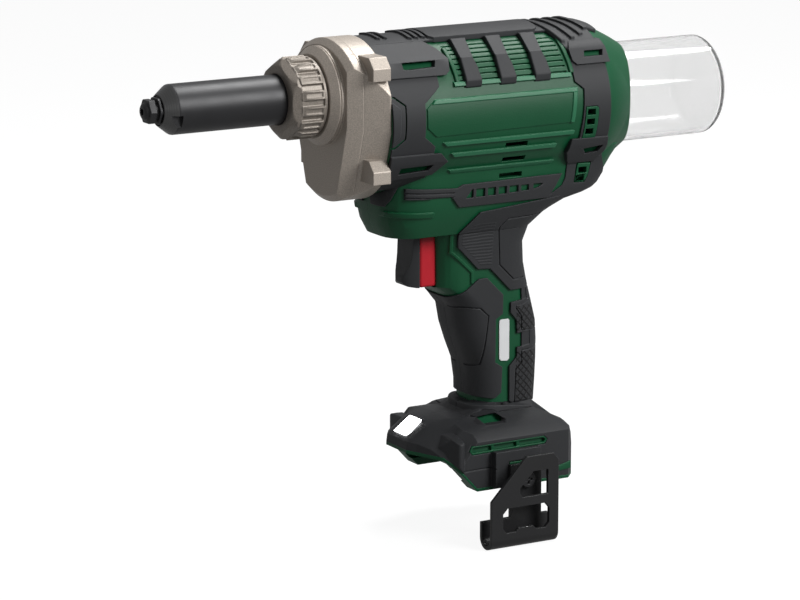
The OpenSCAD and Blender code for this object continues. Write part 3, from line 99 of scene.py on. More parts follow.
class RivetToolSizes(bpy.types.PropertyGroup):
    """Sizes of the moulded and cast details."""

    cast_edge: length("Cast edge", "Edge radius of the gear case", 0.0011)
    soft_edge: length("Soft edge", "Edge radius of the soft bands and pads", 0.0009)
    panel_rise: length("Panel rise", "Rise of the bare side panel and its ridges", 0.00125)
    fin_depth: length("Fin depth", "Depth of the grooves behind the vent bars", 0.0014)
    seam_width: length("Pad line width", "Width of the lines pressed into the pads", 0.0007)
    seam_depth: length("Pad line depth", "Depth of the lines pressed into the pads", 0.0006)


def swatch(name, text, default):
    """A colour property with the sRGB value of its default."""
    return bpy.props.StringProperty(name=name, description=text + ", as an sRGB hex value", default=default)


class RivetToolColours(bpy.types.PropertyGroup):
    """Colours of the finishes."""

    shell: swatch("Shell", "Moulded shell", "084A2C")
    # The ridge colour is a paler green that stands for light falling on the ridges: a painted highlight
    ridge: swatch("Ridges", "Rubbed ridges of the shell", "2A6B4B")
    overmould: swatch("Overmould", "Soft bands and pads", "2C2D2F")
    case: swatch("Case", "Cast gear case", "B5ABA0")
    collar: swatch("Collar", "Cast collar nut", "8A8279")
    sleeve: swatch("Sleeve", "Blackened nose sleeve", "232325")
    trigger: swatch("Trigger", "Trigger body", "B81E2B")
    foot: swatch("Foot", "Foot covers", "2D2E30")
    hook: swatch("Hook", "Coated belt hook", "252526")


def sizes():
    return bpy.context.scene.rivet_sizes


def colours():
    return bpy.context.scene.rivet_colours


# Finishes

def linear(text):
    """An sRGB hex value as linear RGBA."""
    parts = [int(text[i:i + 2], 16) / 255 for i in (0, 2, 4)]
    return [p / 12.92 if p <= 0.04045 else ((p + 0.055) / 1.055) ** 2.4 for p in parts] + [1.0]


def feed(tree, node, sockets):
    """Sets the values and links of a node's sockets."""
    for key, value in dict(sockets).items():
        if isinstance(value, bpy.types.NodeSocket):
            tree.links.new(value, node.inputs[key])
        else:
            node.inputs[key].default_value = value


def add(tree, kind, sockets=(), **settings):
    """Adds a node with its settings, socket values and links."""
    node = tree.nodes.new(kind)
    for key, value in settings.items():
        setattr(node, key, value)
    feed(tree, node, sockets)
    return node


def maths(tree, way, a, b):
    """One operation on two values."""
    return add(tree, "ShaderNodeMath", {0: a, 1: b}, operation=way).outputs[0]


def noise(tree, place, grain_mm, detail=2.0):
    """Noise with a grain of this size in millimetres."""
    sockets = {"Vector": place, "Scale": 1 / (grain_mm * MM), "Detail": detail}
    return add(tree, "ShaderNodeTexNoise", sockets).outputs["Fac"]


def spread(tree, value, low, high, start=0.0, end=1.0):
    """A value between start and end, mapped to low and high."""
    sockets = {"Value": value, "From Min": start, "From Max": end, "To Min": low, "To Max": high}
    return add(tree, "ShaderNodeMapRange", sockets).outputs[0]


def bump(tree, height, strength, reach_mm, normal):
    """Relief on top of a normal."""
    sockets = {"Height": height, "Strength": strength, "Distance": reach_mm * MM, "Normal": normal}
    return add(tree, "ShaderNodeBump", sockets).outputs[0]


def new_finish(name):
    """A material with its tree, shader and Object coordinates."""
    made = bpy.data.materials.get(name)
    if made:
        return made, None, None, None
    made = bpy.data.materials.new(name)
    made.use_nodes = True
    tree = made.node_tree
    tree.nodes.clear()
    shader = add(tree, "ShaderNodeBsdfPrincipled")
    add(tree, "ShaderNodeOutputMaterial", {"Surface": shader.outputs[0]})
    place = add(tree, "ShaderNodeTexCoord").outputs["Object"]
    return made, tree, shader, place


def colour_with_painted_edge_highlight(tree, shader, base, tone, edge_mm, highlight_gain, highlight_add):
    """Wires a toned colour with paler edges, a painted highlight along every edge, and returns the normal
    with rounded edges.
    """
    body = add(tree, "ShaderNodeMix", {"Factor": 1.0, "A": base, "B": tone}, data_type="RGBA",
               blend_type="MULTIPLY")
    pale = [min(1.0, c * highlight_gain + highlight_add) for c in base[:3]] + [1.0]
    rounded = add(tree, "ShaderNodeBevel", {"Radius": edge_mm * MM}, samples=6).outputs[0]
    flat = add(tree, "ShaderNodeNewGeometry").outputs["Normal"]
    match = add(tree, "ShaderNodeVectorMath", {0: rounded, 1: flat},
                operation="DOT_PRODUCT").outputs["Value"]
    # Painted highlight: the further the rounded normal turns from the flat one, the paler the colour
    painted_highlight_mask = spread(tree, match, 0.0, 0.6, 0.995, 0.86)
    mixed = add(tree, "ShaderNodeMix", {"Factor": painted_highlight_mask, "A": body.outputs["Result"], "B": pale},
                data_type="RGBA")
    feed(tree, shader, {"Base Color": mixed.outputs["Result"]})
    return rounded


def moulded(name, colour, grain_mm, grain, rough, edge_mm, edge_highlight_gain):
    """Moulded plastic or elastomer: fine spark grain, slight blotches and paler edges, a painted highlight.
    """
    made, tree, shader, place = new_finish(name)
    if tree is None:
        return made
    blotch = spread(tree, noise(tree, place, 22, 3.0), 0.88, 1.12)
    rounded = colour_with_painted_edge_highlight(tree, shader, linear(colour), blotch, edge_mm, edge_highlight_gain, 0.012)
    speck = noise(tree, place, grain_mm)
    gloss = spread(tree, speck, rough - 0.06, rough + 0.06)
    feed(tree, shader, {"Normal": bump(tree, speck, grain, 0.2, rounded), "Roughness": gloss, "IOR": 1.5,
                        "Specular IOR Level": 0.3})
    return made


def green_abs():
    # Glass-filled ABS from a grained mould: deep green with a satin sheen and brighter edges, a painted
    # highlight
    return moulded("abs_moulded_bottle_green", colours().shell, 0.7, 0.2, 0.46, 0.5, 2.4)


def ridge_abs_painted_highlight():
    # The same ABS on the ridges and the rims of the bare panel, in a paler green that is a painted
    # highlight of their lit tops, and smoother than the shell round them
    return moulded("abs_ridge_green_painted_highlight", colours().ridge, 0.7, 0.12, 0.4, 0.5, 1.6)


def grey_tpe():
    # Thermoplastic elastomer moulded over the shell: dull dark grey with paler edges, a painted highlight
    return moulded("tpe_overmould_anthracite", colours().overmould, 0.55, 0.26, 0.6, 0.6, 2.4)


def foot_nylon():
    # Glass-filled nylon with a coarse spark finish: grey with soft broad highlights
    return moulded("nylon_spark_grained_grey", colours().foot, 0.6, 0.3, 0.56, 0.6, 2.2)


def red_abs():
    # ABS with a finer grain than the shell: clear warm red
    return moulded("abs_moulded_trigger_red", colours().trigger, 0.8, 0.12, 0.38, 0.5, 1.3)


def trigger_rubber():
    # Elastomer finger pad: near black with a low sheen
    return moulded("tpe_finger_pad_black", "343537", 0.6, 0.2, 0.5, 0.6, 1.7)


def dark_abs():
    # Plain black ABS of the inner mouldings: flat and slightly glossy
    return moulded("abs_moulded_black", "1B1C1D", 0.7, 0.1, 0.45, 0.4, 1.7)


def seal_rubber():
    # Nitrile seal: black and oily
    return moulded("nitrile_seal_black", "101010", 0.5, 0.08, 0.35, 0.3, 1.5)


def cast_paint(name="zinc_casting_champagne_speckle", colour=None):
    """Zinc die casting under a speckled champagne coat: warm grey, sparkling, with pale edges that are a
    painted highlight.
    """
    made, tree, shader, place = new_finish(name)
    if tree is None:
        return made
    # The real flake is 0.2 mm, drawn at 0.5 mm so that it shows
    flake = noise(tree, place, 0.5, 1.0)
    spot = spread(tree, flake, 0.84, 1.14, 0.34, 0.66)
    rounded = colour_with_painted_edge_highlight(tree, shader, linear(colour or colours().case), spot, 0.8, 1.35, 0.03)
    feed(tree, shader, {"Normal": bump(tree, flake, 0.14, 0.2, rounded), "Metallic": 0.35,
                        "Roughness": 0.46})
    return made


def collar_paint():
    # The same coat in a darker tone: the nut stands out from the case
    return cast_paint("zinc_casting_dark_speckle", colours().collar)


def metal(name, colour, rough, ring_mm, ring, metallic=1.0):
    """Turned or ground metal: rings along the X axis and slightly brighter edges, a painted highlight."""
    made, tree, shader, place = new_finish(name)
    if tree is None:
        return made
    cloud = noise(tree, place, 9, 4.0)
    rounded = colour_with_painted_edge_highlight(tree, shader, linear(colour), spread(tree, cloud, 0.85, 1.15), 0.3, 1.6, 0.02)
    rings = {"Vector": place, "Scale": 1 / (ring_mm * MM) / 3.14, "Distortion": 0.4, "Detail": 2.0}
    lines = add(tree, "ShaderNodeTexWave", rings, bands_direction="X").outputs["Fac"]
    feed(tree, shader, {"Normal": bump(tree, lines, ring, 0.1, rounded), "Metallic": metallic,
                        "Roughness": spread(tree, cloud, rough - 0.07, rough + 0.07)})
    return made


def black_oxide():
    # Blackened steel: satin black with a soft stripe of light along the tube
    return metal("steel_black_oxide_satin", colours().sleeve, 0.44, 1.2, 0.02, 0.25)


def turned_cone():
    # Blackened steel cut again on the lathe: fine rings that catch the light
    return metal("steel_turned_dark", "5A5A5A", 0.34, 0.9, 0.35, 0.75)


def ground_steel():
    # Ground tool steel: bright with faint rings
    return metal("steel_ground_bright", "9C9DA0", 0.3, 0.8, 0.12)


def hard_steel():
    # Hardened gear steel: darker and oily
    return metal("steel_hardened_oiled", "6E6F73", 0.33, 1.0, 0.08)


def turned_brass():
    # Turned brass: warm yellow with rings
    return metal("brass_turned", "B5904A", 0.3, 0.8, 0.12)


def wound_core():
    # Laminated rotor with copper turns: brown metal with close lines
    return metal("copper_wound_laminations", "8A5A38", 0.42, 1.0, 0.4)


def hook_coat():
    # Steel strip under black powder coat: fine orange-peel skin and a low sheen
    return moulded("steel_black_powder_coat", colours().hook, 0.9, 0.16, 0.38, 0.5, 2.6)


def board_mask():
    # Circuit board under green solder mask: glossy
    return moulded("circuit_board_green_mask", "1F6A43", 1.6, 0.2, 0.28, 0.2, 1.4)


def foil():
    """Plain foil: pale and smooth, with soft edges."""
    return moulded("foil_plate_pale_satin", "E4E5E6", 1.0, 0.05, 0.3, 0.3, 1.0)


def clear_plastic():
    """Moulded clear polycarbonate: see-through with a faint flow haze and bright rims."""
    made, tree, shader, place = new_finish("polycarbonate_clear_moulded")
    if tree is None:
        return made
    haze = noise(tree, place, 30)
    gloss, tint = spread(tree, haze, 0.02, 0.07), spread(tree, haze, 0.88, 0.93)
    feed(tree, shader, {"Roughness": gloss, "Base Color": tint, "Transmission Weight": 0.93, "IOR": 1.45})
    return made


def lit_lens():
    """Frosted lens over a lit work light: even white with a fine frost."""
    made, tree, shader, place = new_finish("polycarbonate_lens_lit")
    if tree is None:
        return made
    glow = spread(tree, noise(tree, place, 1.2), 5.0, 7.0)
    feed(tree, shader, {"Emission Strength": glow, "Emission Color": linear("FFFFFF"),
                        "Base Color": linear("F2F4F5"), "Roughness": 0.3})
    return made


def textured_tpe():
    """The soft grip elastomer with its moulded textures: waves for the thumb, diamonds for the heel, with
    painted shade in the diamonds' grooves.
    """
    made = bpy.data.materials.get("tpe_overmould_textured")
    if made:
        return made
    made = grey_tpe().copy()
    made.name = "tpe_overmould_textured"
    tree = made.node_tree
    shader = next(n for n in tree.nodes if n.type == "BSDF_PRINCIPLED")
    grain = shader.inputs["Normal"].links[0].from_node
    place = add(tree, "ShaderNodeTexCoord").outputs["Object"]
    spot = add(tree, "ShaderNodeSeparateXYZ", {0: place})
    along, up = spot.outputs["X"], spot.outputs["Z"]

    def span(value, low, high, edge=0.0004):
        """One between low and high, in metres, zero outside."""
        rise = spread(tree, value, 0.0, 1.0, low, low + edge)
        return maths(tree, "MULTIPLY", rise, spread(tree, value, 1.0, 0.0, high - edge, high))

    # Thumb patch: close waves about 1.6 mm apart, cut by slanted ends
    slant = maths(tree, "ADD", along, up)
    lean = maths(tree, "SUBTRACT", along, up)
    patch = span(along, 0.1621, 0.18)
    for part in (span(up, -0.0884, -0.066), span(lean, 0.2342, 0.2686), span(slant, 0.0855, 0.3)):
        patch = maths(tree, "MULTIPLY", patch, part)
    wave = add(tree, "ShaderNodeTexWave", {"Vector": place, "Scale": 1 / 0.0016 / 3.14, "Distortion": 3.0,
                                           "Detail": 1.0, "Detail Scale": 0.5}, bands_direction="Z")
    waves = maths(tree, "MULTIPLY", wave.outputs["Fac"], maths(tree, "MULTIPLY", patch, 0.4))
    # Heel pads: crossed lines about 2.7 mm apart, pressed in by bump and coloured near black as painted
    # shade
    rows = [maths(tree, "PINGPONG", line, 0.0019) for line in (slant, lean)]
    cross = maths(tree, "MULTIPLY", *[spread(tree, row, 0.0, 1.0, 0.0002, 0.0008) for row in rows])
    both = maths(tree, "MAXIMUM", span(up, -0.1615, -0.1345), span(up, -0.1242, -0.1112))
    heel = maths(tree, "MULTIPLY", span(along, 0.1947, 0.3, 0.0003), both)
    grooves = maths(tree, "MULTIPLY", maths(tree, "SUBTRACT", 1.0, cross), heel)
    height = maths(tree, "SUBTRACT", waves, grooves)
    feed(tree, grain, {"Normal": bump(tree, height, 0.7, 0.5, grain.inputs["Normal"].links[0].from_socket)})
    tone = shader.inputs["Base Color"].links[0].from_socket
    # Painted shade: the heel's grooves are coloured near black
    shade = add(tree, "ShaderNodeMix", {"Factor": grooves, "A": tone, "B": linear("0C0C0D")},
                data_type="RGBA")
    feed(tree, shader, {"Base Color": shade.outputs["Result"]})
    return made


# Modelling

def rest():
    """Object mode with nothing selected."""
    if bpy.context.object and bpy.context.object.mode != "OBJECT":
        bpy.ops.object.mode_set(mode="OBJECT")
    bpy.ops.object.select_all(action="DESELECT")


def pick(obj):
    """Only this object selected and active."""
    rest()
    obj.select_set(True)
    bpy.context.view_layer.objects.active = obj
    return obj


def edit_all(obj):
    """Edit mode with the whole mesh selected."""
    pick(obj)
    bpy.ops.object.mode_set(mode="EDIT")
    bpy.ops.mesh.select_all(action="SELECT")


def outline(points, low, high, across="Y"):
    """A closed outline, drawn in the view along one axis and extruded along it, in millimetres."""
    rest()
    bpy.ops.mesh.primitive_circle_add(vertices=len(points), fill_type="NGON")
    obj = bpy.context.object
    for vert, (a, b) in zip(obj.data.vertices, points):
        vert.co = Vector({"X": (low, a, b), "Y": (a, low, b), "Z": (a, b, low)}[across]) * MM
    step = (high - low) * MM
    edit_all(obj)
    bpy.ops.mesh.extrude_region_move(TRANSFORM_OT_translate={
        "value": (step * (across == "X"), step * (across == "Y"), step * (across == "Z"))})
    bpy.ops.mesh.select_all(action="SELECT")
    bpy.ops.mesh.normals_make_consistent(inside=False)
    rest()
    return obj


def box(low, high):
    """A block between two corners, in millimetres."""
    corners = [(low[0], low[2]), (high[0], low[2]), (high[0], high[2]), (low[0], high[2])]
    return outline(corners, low[1], high[1])


def turned(profile, z=0.0, steps=128):
    """A closed profile of (x, r) points spun about an axis along X, in millimetres."""
    rest()
    bpy.ops.mesh.primitive_circle_add(vertices=len(profile), fill_type="NOTHING")
    obj = bpy.context.object
    for vert, (x, r) in zip(obj.data.vertices, profile):
        vert.co = Vector((x, 0, z + r)) * MM
    edit_all(obj)
    bpy.ops.mesh.spin(steps=steps, angle=2 * math.pi, center=(0, 0, z * MM), axis=(1, 0, 0))
    bpy.ops.mesh.select_all(action="SELECT")
    bpy.ops.mesh.remove_doubles(threshold=1e-6)
    bpy.ops.mesh.dissolve_degenerate(threshold=1e-7)
    bpy.ops.mesh.delete_loose()
    bpy.ops.mesh.select_all(action="SELECT")
    bpy.ops.mesh.normals_make_consistent(inside=False)
    rest()
    return obj


def rod(x, y, z, r, low, high, across="Y", steps=32):
    """A round bar along one axis, in millimetres."""
    turns = [2 * math.pi * i / steps for i in range(steps)]
    centre = {"X": (y, z), "Y": (x, z), "Z": (x, y)}[across]
    points = [(centre[0] + r * math.cos(t), centre[1] + r * math.sin(t)) for t in turns]
    return outline(points, low, high, across)


def ring(slice_, grow, steps=8):
    """Outline of one handle slice with round corners."""
    z, front, rear, half = slice_
    half, front, rear = half + grow, front - grow, rear + grow
    r = half * 0.72
    points = []
    for x, y, start in ((rear - r, half - r, 0), (front + r, half - r, 90), (front + r, r - half, 180),
                        (rear - r, r - half, 270)):
        for i in range(steps + 1):
            a = math.radians(start + 90 * i / steps)
            points.append((x + r * math.cos(a), y + r * math.sin(a), z))
    return points


def loft(slices, grow):
    """Slices of the handle bridged into one closed form."""
    rings = []
    for slice_ in slices:
        points = ring(slice_, grow)
        rest()
        bpy.ops.mesh.primitive_circle_add(vertices=len(points), fill_type="NOTHING")
        for vert, p in zip(bpy.context.object.data.vertices, points):
            vert.co = Vector(p) * MM
        rings.append(bpy.context.object)
    obj = together(rings)
    edit_all(obj)
    bpy.ops.mesh.bridge_edge_loops()
    bpy.ops.mesh.select_all(action="SELECT")
    bpy.ops.mesh.fill_holes(sides=0)
    bpy.ops.mesh.select_all(action="SELECT")
    bpy.ops.mesh.normals_make_consistent(inside=False)
    rest()
    return obj


def together(objs):
    """Several meshes joined into one object."""
    if len(objs) > 1:
        rest()
        for obj in objs:
            obj.select_set(True)
        bpy.context.view_layer.objects.active = objs[0]
        bpy.ops.object.join()
    return objs[0]


def carve(obj, tool, way="DIFFERENCE"):
    """Cuts, crosses or adds a tool, which is used up."""
    pick(obj)
    mod = obj.modifiers.new("carve", "BOOLEAN")
    mod.operation, mod.object, mod.solver = way, tool, "EXACT"
    bpy.ops.object.modifier_apply(modifier=mod.name)
    bpy.data.objects.remove(tool)
    if not obj.data.polygons:
        raise RuntimeError("nothing is left of " + obj.name)
    return obj


def soften(obj, width, segments=3, angle=38, seams=()):
    """Rounds the edges that are sharper than the angle, a quarter as much on seams across the X axis."""
    if seams:
        seam_weights(obj, seams, angle)
    pick(obj)
    mod = obj.modifiers.new("soften", "BEVEL")
    mod.width, mod.segments = width, segments
    mod.limit_method, mod.angle_limit = "WEIGHT" if seams else "ANGLE", math.radians(angle)
    mod.use_clamp_overlap = True
    bpy.ops.object.modifier_apply(modifier=mod.name)
    return obj


def seam_weights(obj, seams, angle):
    """Edge weights for rounding: full on sharp edges, a quarter on those that lie on a seam."""
    edit_all(obj)
    bpy.ops.mesh.select_mode(type="EDGE")
    bpy.ops.mesh.select_all(action="DESELECT")
    bpy.ops.mesh.edges_select_sharp(sharpness=math.radians(angle))
    rest()
    weights = obj.data.attributes.new("bevel_weight_edge", "FLOAT", "EDGE")
    for edge in obj.data.edges:
        spots = [obj.data.vertices[i].co.x / MM for i in edge.vertices]
        on_seam = any(all(abs(spot - x) < 0.05 for spot in spots) for x in seams)
        weights.data[edge.index].value = edge.select * (0.25 if on_seam else 1.0)


def copy_of(node):
    """A merged copy of a solid, to be refined."""
    obj = bpy.data.objects.new(node + "_form", NODES[node].data.copy())
    bpy.context.scene.collection.objects.link(obj)
    obj.data.materials.clear()
    edit_all(obj)
    bpy.ops.mesh.customdata_custom_splitnormals_clear()
    bpy.ops.mesh.remove_doubles(threshold=2e-6)
    bpy.ops.mesh.dissolve_limited(angle_limit=math.radians(0.4))
    rest()
    return obj


def pick_copy(obj):
    """A copy with its own mesh."""
    pick(obj)
    bpy.ops.object.duplicate()
    return bpy.context.object


def mirror_tool(obj):
    """Turns a tool or detail to the right side."""
    edit_all(obj)
    bpy.ops.transform.resize(value=(1, -1, 1), center_override=(0, 0, 0))
    bpy.ops.mesh.flip_normals()
    rest()
    return obj


def mirrored(obj):
    """The same piece for the other side."""
    return mirror_tool(pick_copy(obj))


def settle(obj, name, nodes, finish, body="housing", angle=34):
    """Smooths and names a piece, gives it its finish and hands it to the frame."""
    pick(obj)
    bpy.ops.object.shade_smooth_by_angle(angle=math.radians(angle))
    mod = obj.modifiers.new("even", "WEIGHTED_NORMAL")
    mod.keep_sharp = True
    bpy.ops.object.modifier_apply(modifier=mod.name)
    obj.name = obj.data.name = name
    if not obj.data.materials:
        obj.data.materials.append(finish)
    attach(obj, body)
    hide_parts(*nodes)
    return obj


def settle_pair(obj, node, ending, finish, angle=34, wells=False):
    """Settles a left piece and its mirrored twin, whose screw wells are open where asked."""
    twin = mirrored(obj)
    if wells:
        screw_wells(twin)
    for side, piece in (("left", obj), ("right", twin)):
        settle(piece, "%s_%s_%s" % (side, node, ending), [side + "_" + node], finish, angle=angle)


def side_form(points):
    """A side outline through the left of the tool."""
    return outline(points, -60, -4)


def cut(parts, points):
    """Cuts a side outline through each of the parts."""
    for part in parts:
        carve(part, side_form(points))


def barrel_spot(angle, r):
    """Place in the front view at an angle from the top of the barrel towards the left."""
    return (-r * math.sin(math.radians(angle)), BARREL_Z + r * math.cos(math.radians(angle)))


def barrel_line(grow):
    """Profile of the barrel and its dome."""
    line = [(BARREL_FRONT, BARREL_R + grow), (BARREL_END, BARREL_R + grow)]
    for i in range(1, 13):
        t = i / 12
        line.append((BARREL_END + 25 * t, 26.5 + grow + 11 * (1 - t ** 1.35)))
    return line


def barrel_coat(low, high):
    """A coat on the barrel between two heights over its surface."""
    return turned(barrel_line(low) + barrel_line(high)[::-1], BARREL_Z, BARREL_STEPS)


def barrel_plug():
    """The barrel as a tool that leaves what is moulded over it."""
    r = BARREL_R + CLEAR
    return turned([(100, 0), (100, r), (250, r), (250, 0)], BARREL_Z, BARREL_STEPS)


def dome_plug(front_r, grow):
    """The barrel and its dome as a tool."""
    return turned([(100, 0), (100, front_r)] + barrel_line(grow)[1:] + [(261, 0)], BARREL_Z, BARREL_STEPS)


def coat(points, low, high):
    """A side outline wrapped on the left of the barrel."""
    return carve(side_form(points), barrel_coat(low, high), "INTERSECT")


def wedge(x0, x1, low_angle, high_angle, r):
    """A slice of the barrel between two angles from the top towards the left."""
    spots = [barrel_spot(low_angle + (high_angle - low_angle) * i / 8, r) for i in range(9)]
    return outline([(0.0, BARREL_Z)] + spots, x0, x1, "X")


def block(points, breaks):
    """A faceted block on the left of the barrel, its breaks given as angle from the top and height."""
    spots = [barrel_spot(a, BARREL_R + h) for a, h in breaks]
    obj = carve(side_form(points), outline([(0.0, BARREL_Z)] + spots, 100, 250, "X"), "INTERSECT")
    return carve(obj, barrel_plug())


def chin_coat(points, low, high):
    """A side outline wrapped on the left of the chin, clear of the barrel."""
    obj = carve(carve(side_form(points), loft(CHIN, high), "INTERSECT"), loft(CHIN, low))
    return carve(obj, barrel_plug())


def tail_coat(points, low, high):
    """A side outline wrapped on the left of the rear corner, clear of the barrel."""
    obj = carve(carve(outline(points, -60, -0.02), loft(TAIL, high), "INTERSECT"), loft(TAIL, low))
    return carve(obj, dome_plug(BARREL_R, CLEAR))


def scoop_dome(obj):
    """Draws the end of the dome in at its sides."""
    for vert in obj.data.vertices:
        x, y = vert.co.x / MM, vert.co.y / MM
        if x > BARREL_END:
            vert.co.x = (BARREL_END + (x - BARREL_END) * (1 - 0.24 * min(1.0, abs(y) / 26.5) ** 2)) * MM
    return obj


def sink_depth(x, y):
    """How far the top of the foot goes down: least beside the handle, most at the hood."""
    away = min(1.0, max(0.0, NECK_FRONT - x, abs(y) - NECK_HALF, x - NECK_REAR) / 6.8)
    near = 1.0 + 3.5 * min(1.0, max(0.0, (x - 180) / 20))
    full = 8.0 if x < HOOD_REAR else 6.0
    return near + (full - near) * away


def sink_share(x, z):
    """The part of that depth at a height: none at the flanks, all at the top."""
    if x < HOOD_REAR:
        slopes = (0.1 * (z + 170) / 1.4, 0.1 + 0.6 * (z + 168.6) / 5.6, 0.7 + 0.3 * (z + 163) / 5)
        return max(0.0, min(*slopes, 1.0))
    return min(1.0, (z + 173) / 15) ** 2


def hood_roof(x, y):
    """Height that the hood stays under: two slopes to the front and sides, and a flat top."""
    out = abs(y) - 8
    return min(-163.2 + 0.436 * (x - 151.2) - 0.554 * out, -167.6 + 1.128 * (x - 141.1) - 0.958 * out,
               -164.0 if abs(y) < 16 else -160.0)


def sink_foot(obj, extra=0.0):
    """Lowers the top of the foot and leans its hood back. The handle itself stays."""
    edit_all(obj)
    planes = [((x, 0, 0), (1, 0, 0)) for x in HOOD_CUTS_X]
    planes += [((0, y * sign, 0), (0, 1, 0)) for y in HOOD_CUTS_Y for sign in (1, -1)]
    for place, normal in planes:
        bpy.ops.mesh.select_all(action="SELECT")
        bpy.ops.mesh.bisect(plane_co=place, plane_no=normal)
    rest()
    for vert in obj.data.vertices:
        x, y, z = vert.co / MM
        in_neck = NECK_FRONT + 0.05 < x < NECK_REAR - 0.05 and abs(y) < NECK_HALF - 0.03
        if -173 < z < -156 and not in_neck:
            z -= (sink_depth(x, y) + extra) * sink_share(x, z)
            vert.co.z = z * MM
        if x < 160 and -185 < z < -150:
            # The underside of the roof keeps 1.6 mm below its top
            under = 1.6 if vert.normal.z < -0.05 else 0.0
            if abs(y) > 6 and x < 157:
                z = max(min(z, hood_roof(x, y) - extra - under), -184.0)
            lean = 0.5 * max(0.0, z + 176) * min(1.0, (160 - x) / 16)
            vert.co.x, vert.co.z = (x + lean) * MM, z * MM
    return obj


def line_tool(points, width, y_low, y_high):
    """Narrow strips along a line in the side view."""
    strips = []
    for (x0, z0), (x1, z1) in zip(points, points[1:]):
        along = Vector((x1 - x0, z1 - z0)).normalized() * width / 2
        side = Vector((-along.y, along.x))
        a, b = Vector((x0, z0)) - along, Vector((x1, z1)) + along
        strips.append(outline([tuple(a - side), tuple(b - side), tuple(b + side), tuple(a + side)],
                              y_low, y_high))
    tool = strips[0]
    for strip in strips[1:]:
        tool = carve(tool, strip, "UNION")
    return tool


def press_lines(pad, lines, depth_over):
    """Presses lines into a pad down to a form that stands this far over the grip."""
    for points in lines:
        tool = line_tool(points, sizes().seam_width / MM, -40, -4)
        carve(pad, carve(tool, loft(GRIP, depth_over)))


def screw_wells(obj):
    """Wells of the clamshell screws, on the right half only."""
    for x, z in SCREWS:
        carve(obj, rod(x, 0, z, 3.3, 10, 60))
    return obj


class RIVET_OT_nose(bpy.types.Operator):
    """Nosepiece with its hexagons, and the blackened sleeve with its turned cone"""
    bl_idname = "rivet.nose"
    bl_label = "Nose"

    def execute(self, context):
        parts = [turned([(0, 1.6), (0, 2.5), (0.2, 3.2), (0.6, 3.8), (1.2, 4.25), (2.3, 4.5),
                         (2.3, 1.6)], 0, 48)]
        for low, high, flats in ((1.7, 5.2, 11.0), (6.4, 8.0, 12.4)):
            r = flats / 2 / math.cos(math.radians(30))
            turns = [math.radians(60 * i) for i in range(6)]
            corners = [(r * math.cos(t), r * math.sin(t)) for t in turns]
            nut = soften(outline(corners, low, high, "X"), 0.0004, 2)
            nut = carve(nut, turned([(0, 0), (0, 4.4), (2.6, 6.7), (12, 6.7), (12, 0)], 0, 48), "INTERSECT")
            parts.append(carve(nut, rod(0, 0, 0, 1.6, -5, 30, "X")))
        parts.append(turned([(4.8, 1.6), (4.8, 4.7), (6.8, 4.7), (6.8, 1.6)], 0, 48))
        parts.append(turned([(7.6, 1.6), (7.6, 4.8), (24.0, 4.8), (24.0, 1.6)], 0, 48))
        settle(together(parts), "nosepiece_hexagons", ["nosepiece"], black_oxide())
        sleeve = turned([(9.4, 4.85), (9.0, 6.9), (8.05, 7.1), (8.0, 7.3), (8.3, 7.75), (13.2, 11.5),
                         (13.8, 11.85), (14.6, 12.0), (74.0, 12.0), (74.0, 14.0), (78.0, 14.0),
                         (78.0, 9.0), (25.0, 9.0), (25.0, 4.85)])
        for sign in (-1, 1):
            carve(sleeve, box((9.0, min(sign * 9.4, sign * 14), -9),
                              (15.6, max(sign * 9.4, sign * 14), -1.5)))
        sleeve.data.materials.append(black_oxide())
        sleeve.data.materials.append(turned_cone())
        for face in sleeve.data.polygons:
            face.material_index = int(8.1 * MM < face.center.x < 13.7 * MM and face.normal.x < -0.3)
        settle(sleeve, "nose_sleeve_turned", ["nose_sleeve"], None)
        return {"FINISHED"}


class RIVET_OT_collar(bpy.types.Operator):
    """Collar nut with framed ribs and slanted wrench flats across its front"""
    bl_idname = "rivet.collar"
    bl_label = "Collar nut"

    def execute(self, context):
        hub = turned([(70.7, 12.3), (70.7, 15.2), (71.3, 16.6), (73.4, 19.3), (75.2, 19.3), (75.5, 18.2),
                      (86.6, 18.2), (86.9, 19.2), (88.2, 19.2), (88.7, 18.7), (88.7, 15.0), (73.7, 15.0),
                      (73.7, 12.3)])
        rib = box((75.0, -2.2, 16.5), (87.0, 2.2, 19.9))
        carve(rib, box((77.0, -1.15, 19.25), (85.6, 1.15, 21)))
        rib = soften(rib, 0.00045, 2)
        ribs = []
        for i in range(16):
            ribs.append(pick_copy(rib))
            ribs[-1].data.transform(Matrix.Rotation(2 * math.pi * (i + 0.5) / 16, 4, "X"))
        bpy.data.objects.remove(rib)
        parts = [hub] + ribs
        for i in range(6):
            for part in parts:
                tool = box((-14, -30, 0), (14, 30, 12))
                tool.data.transform(Matrix.Rotation(math.radians(-27), 4, "Y"))
                tool.data.transform(Matrix.Translation((73.0 * MM, 0, 17.05 * MM)))
                tool.data.transform(Matrix.Rotation(math.radians(90 + 60 * i), 4, "X"))
                carve(part, tool)
        settle(together(parts), "collar_nut_ribbed", ["collar_nut"], collar_paint(),
               "collar_nut")
        return {"FINISHED"}


class RIVET_OT_gear_case(bpy.types.Operator):
    """Cast gear case halves with rounded edges, the sloped front of the boss and its ring line"""
    bl_idname = "rivet.gear_case"
    bl_label = "Gear case"

    def execute(self, context):
        for half in ("front", "rear"):
            obj = copy_of("gear_case_" + half)
            if half == "front":
                carve(obj, turned([(88.5, 19.9), (88.5, 27), (92.6, 27), (92.6, 24.0)]))
                carve(obj, turned([(92.9, 23.5), (92.9, 26), (93.4, 26), (93.4, 23.5)]))
            obj = soften(obj, sizes().cast_edge, 3, 30, (102.0, 102.3, 92.6, 92.9, 93.4, 113.0))
            settle(obj, "gear_case_%s_cast" % half, ["gear_case_" + half], cast_paint())
        return {"FINISHED"}


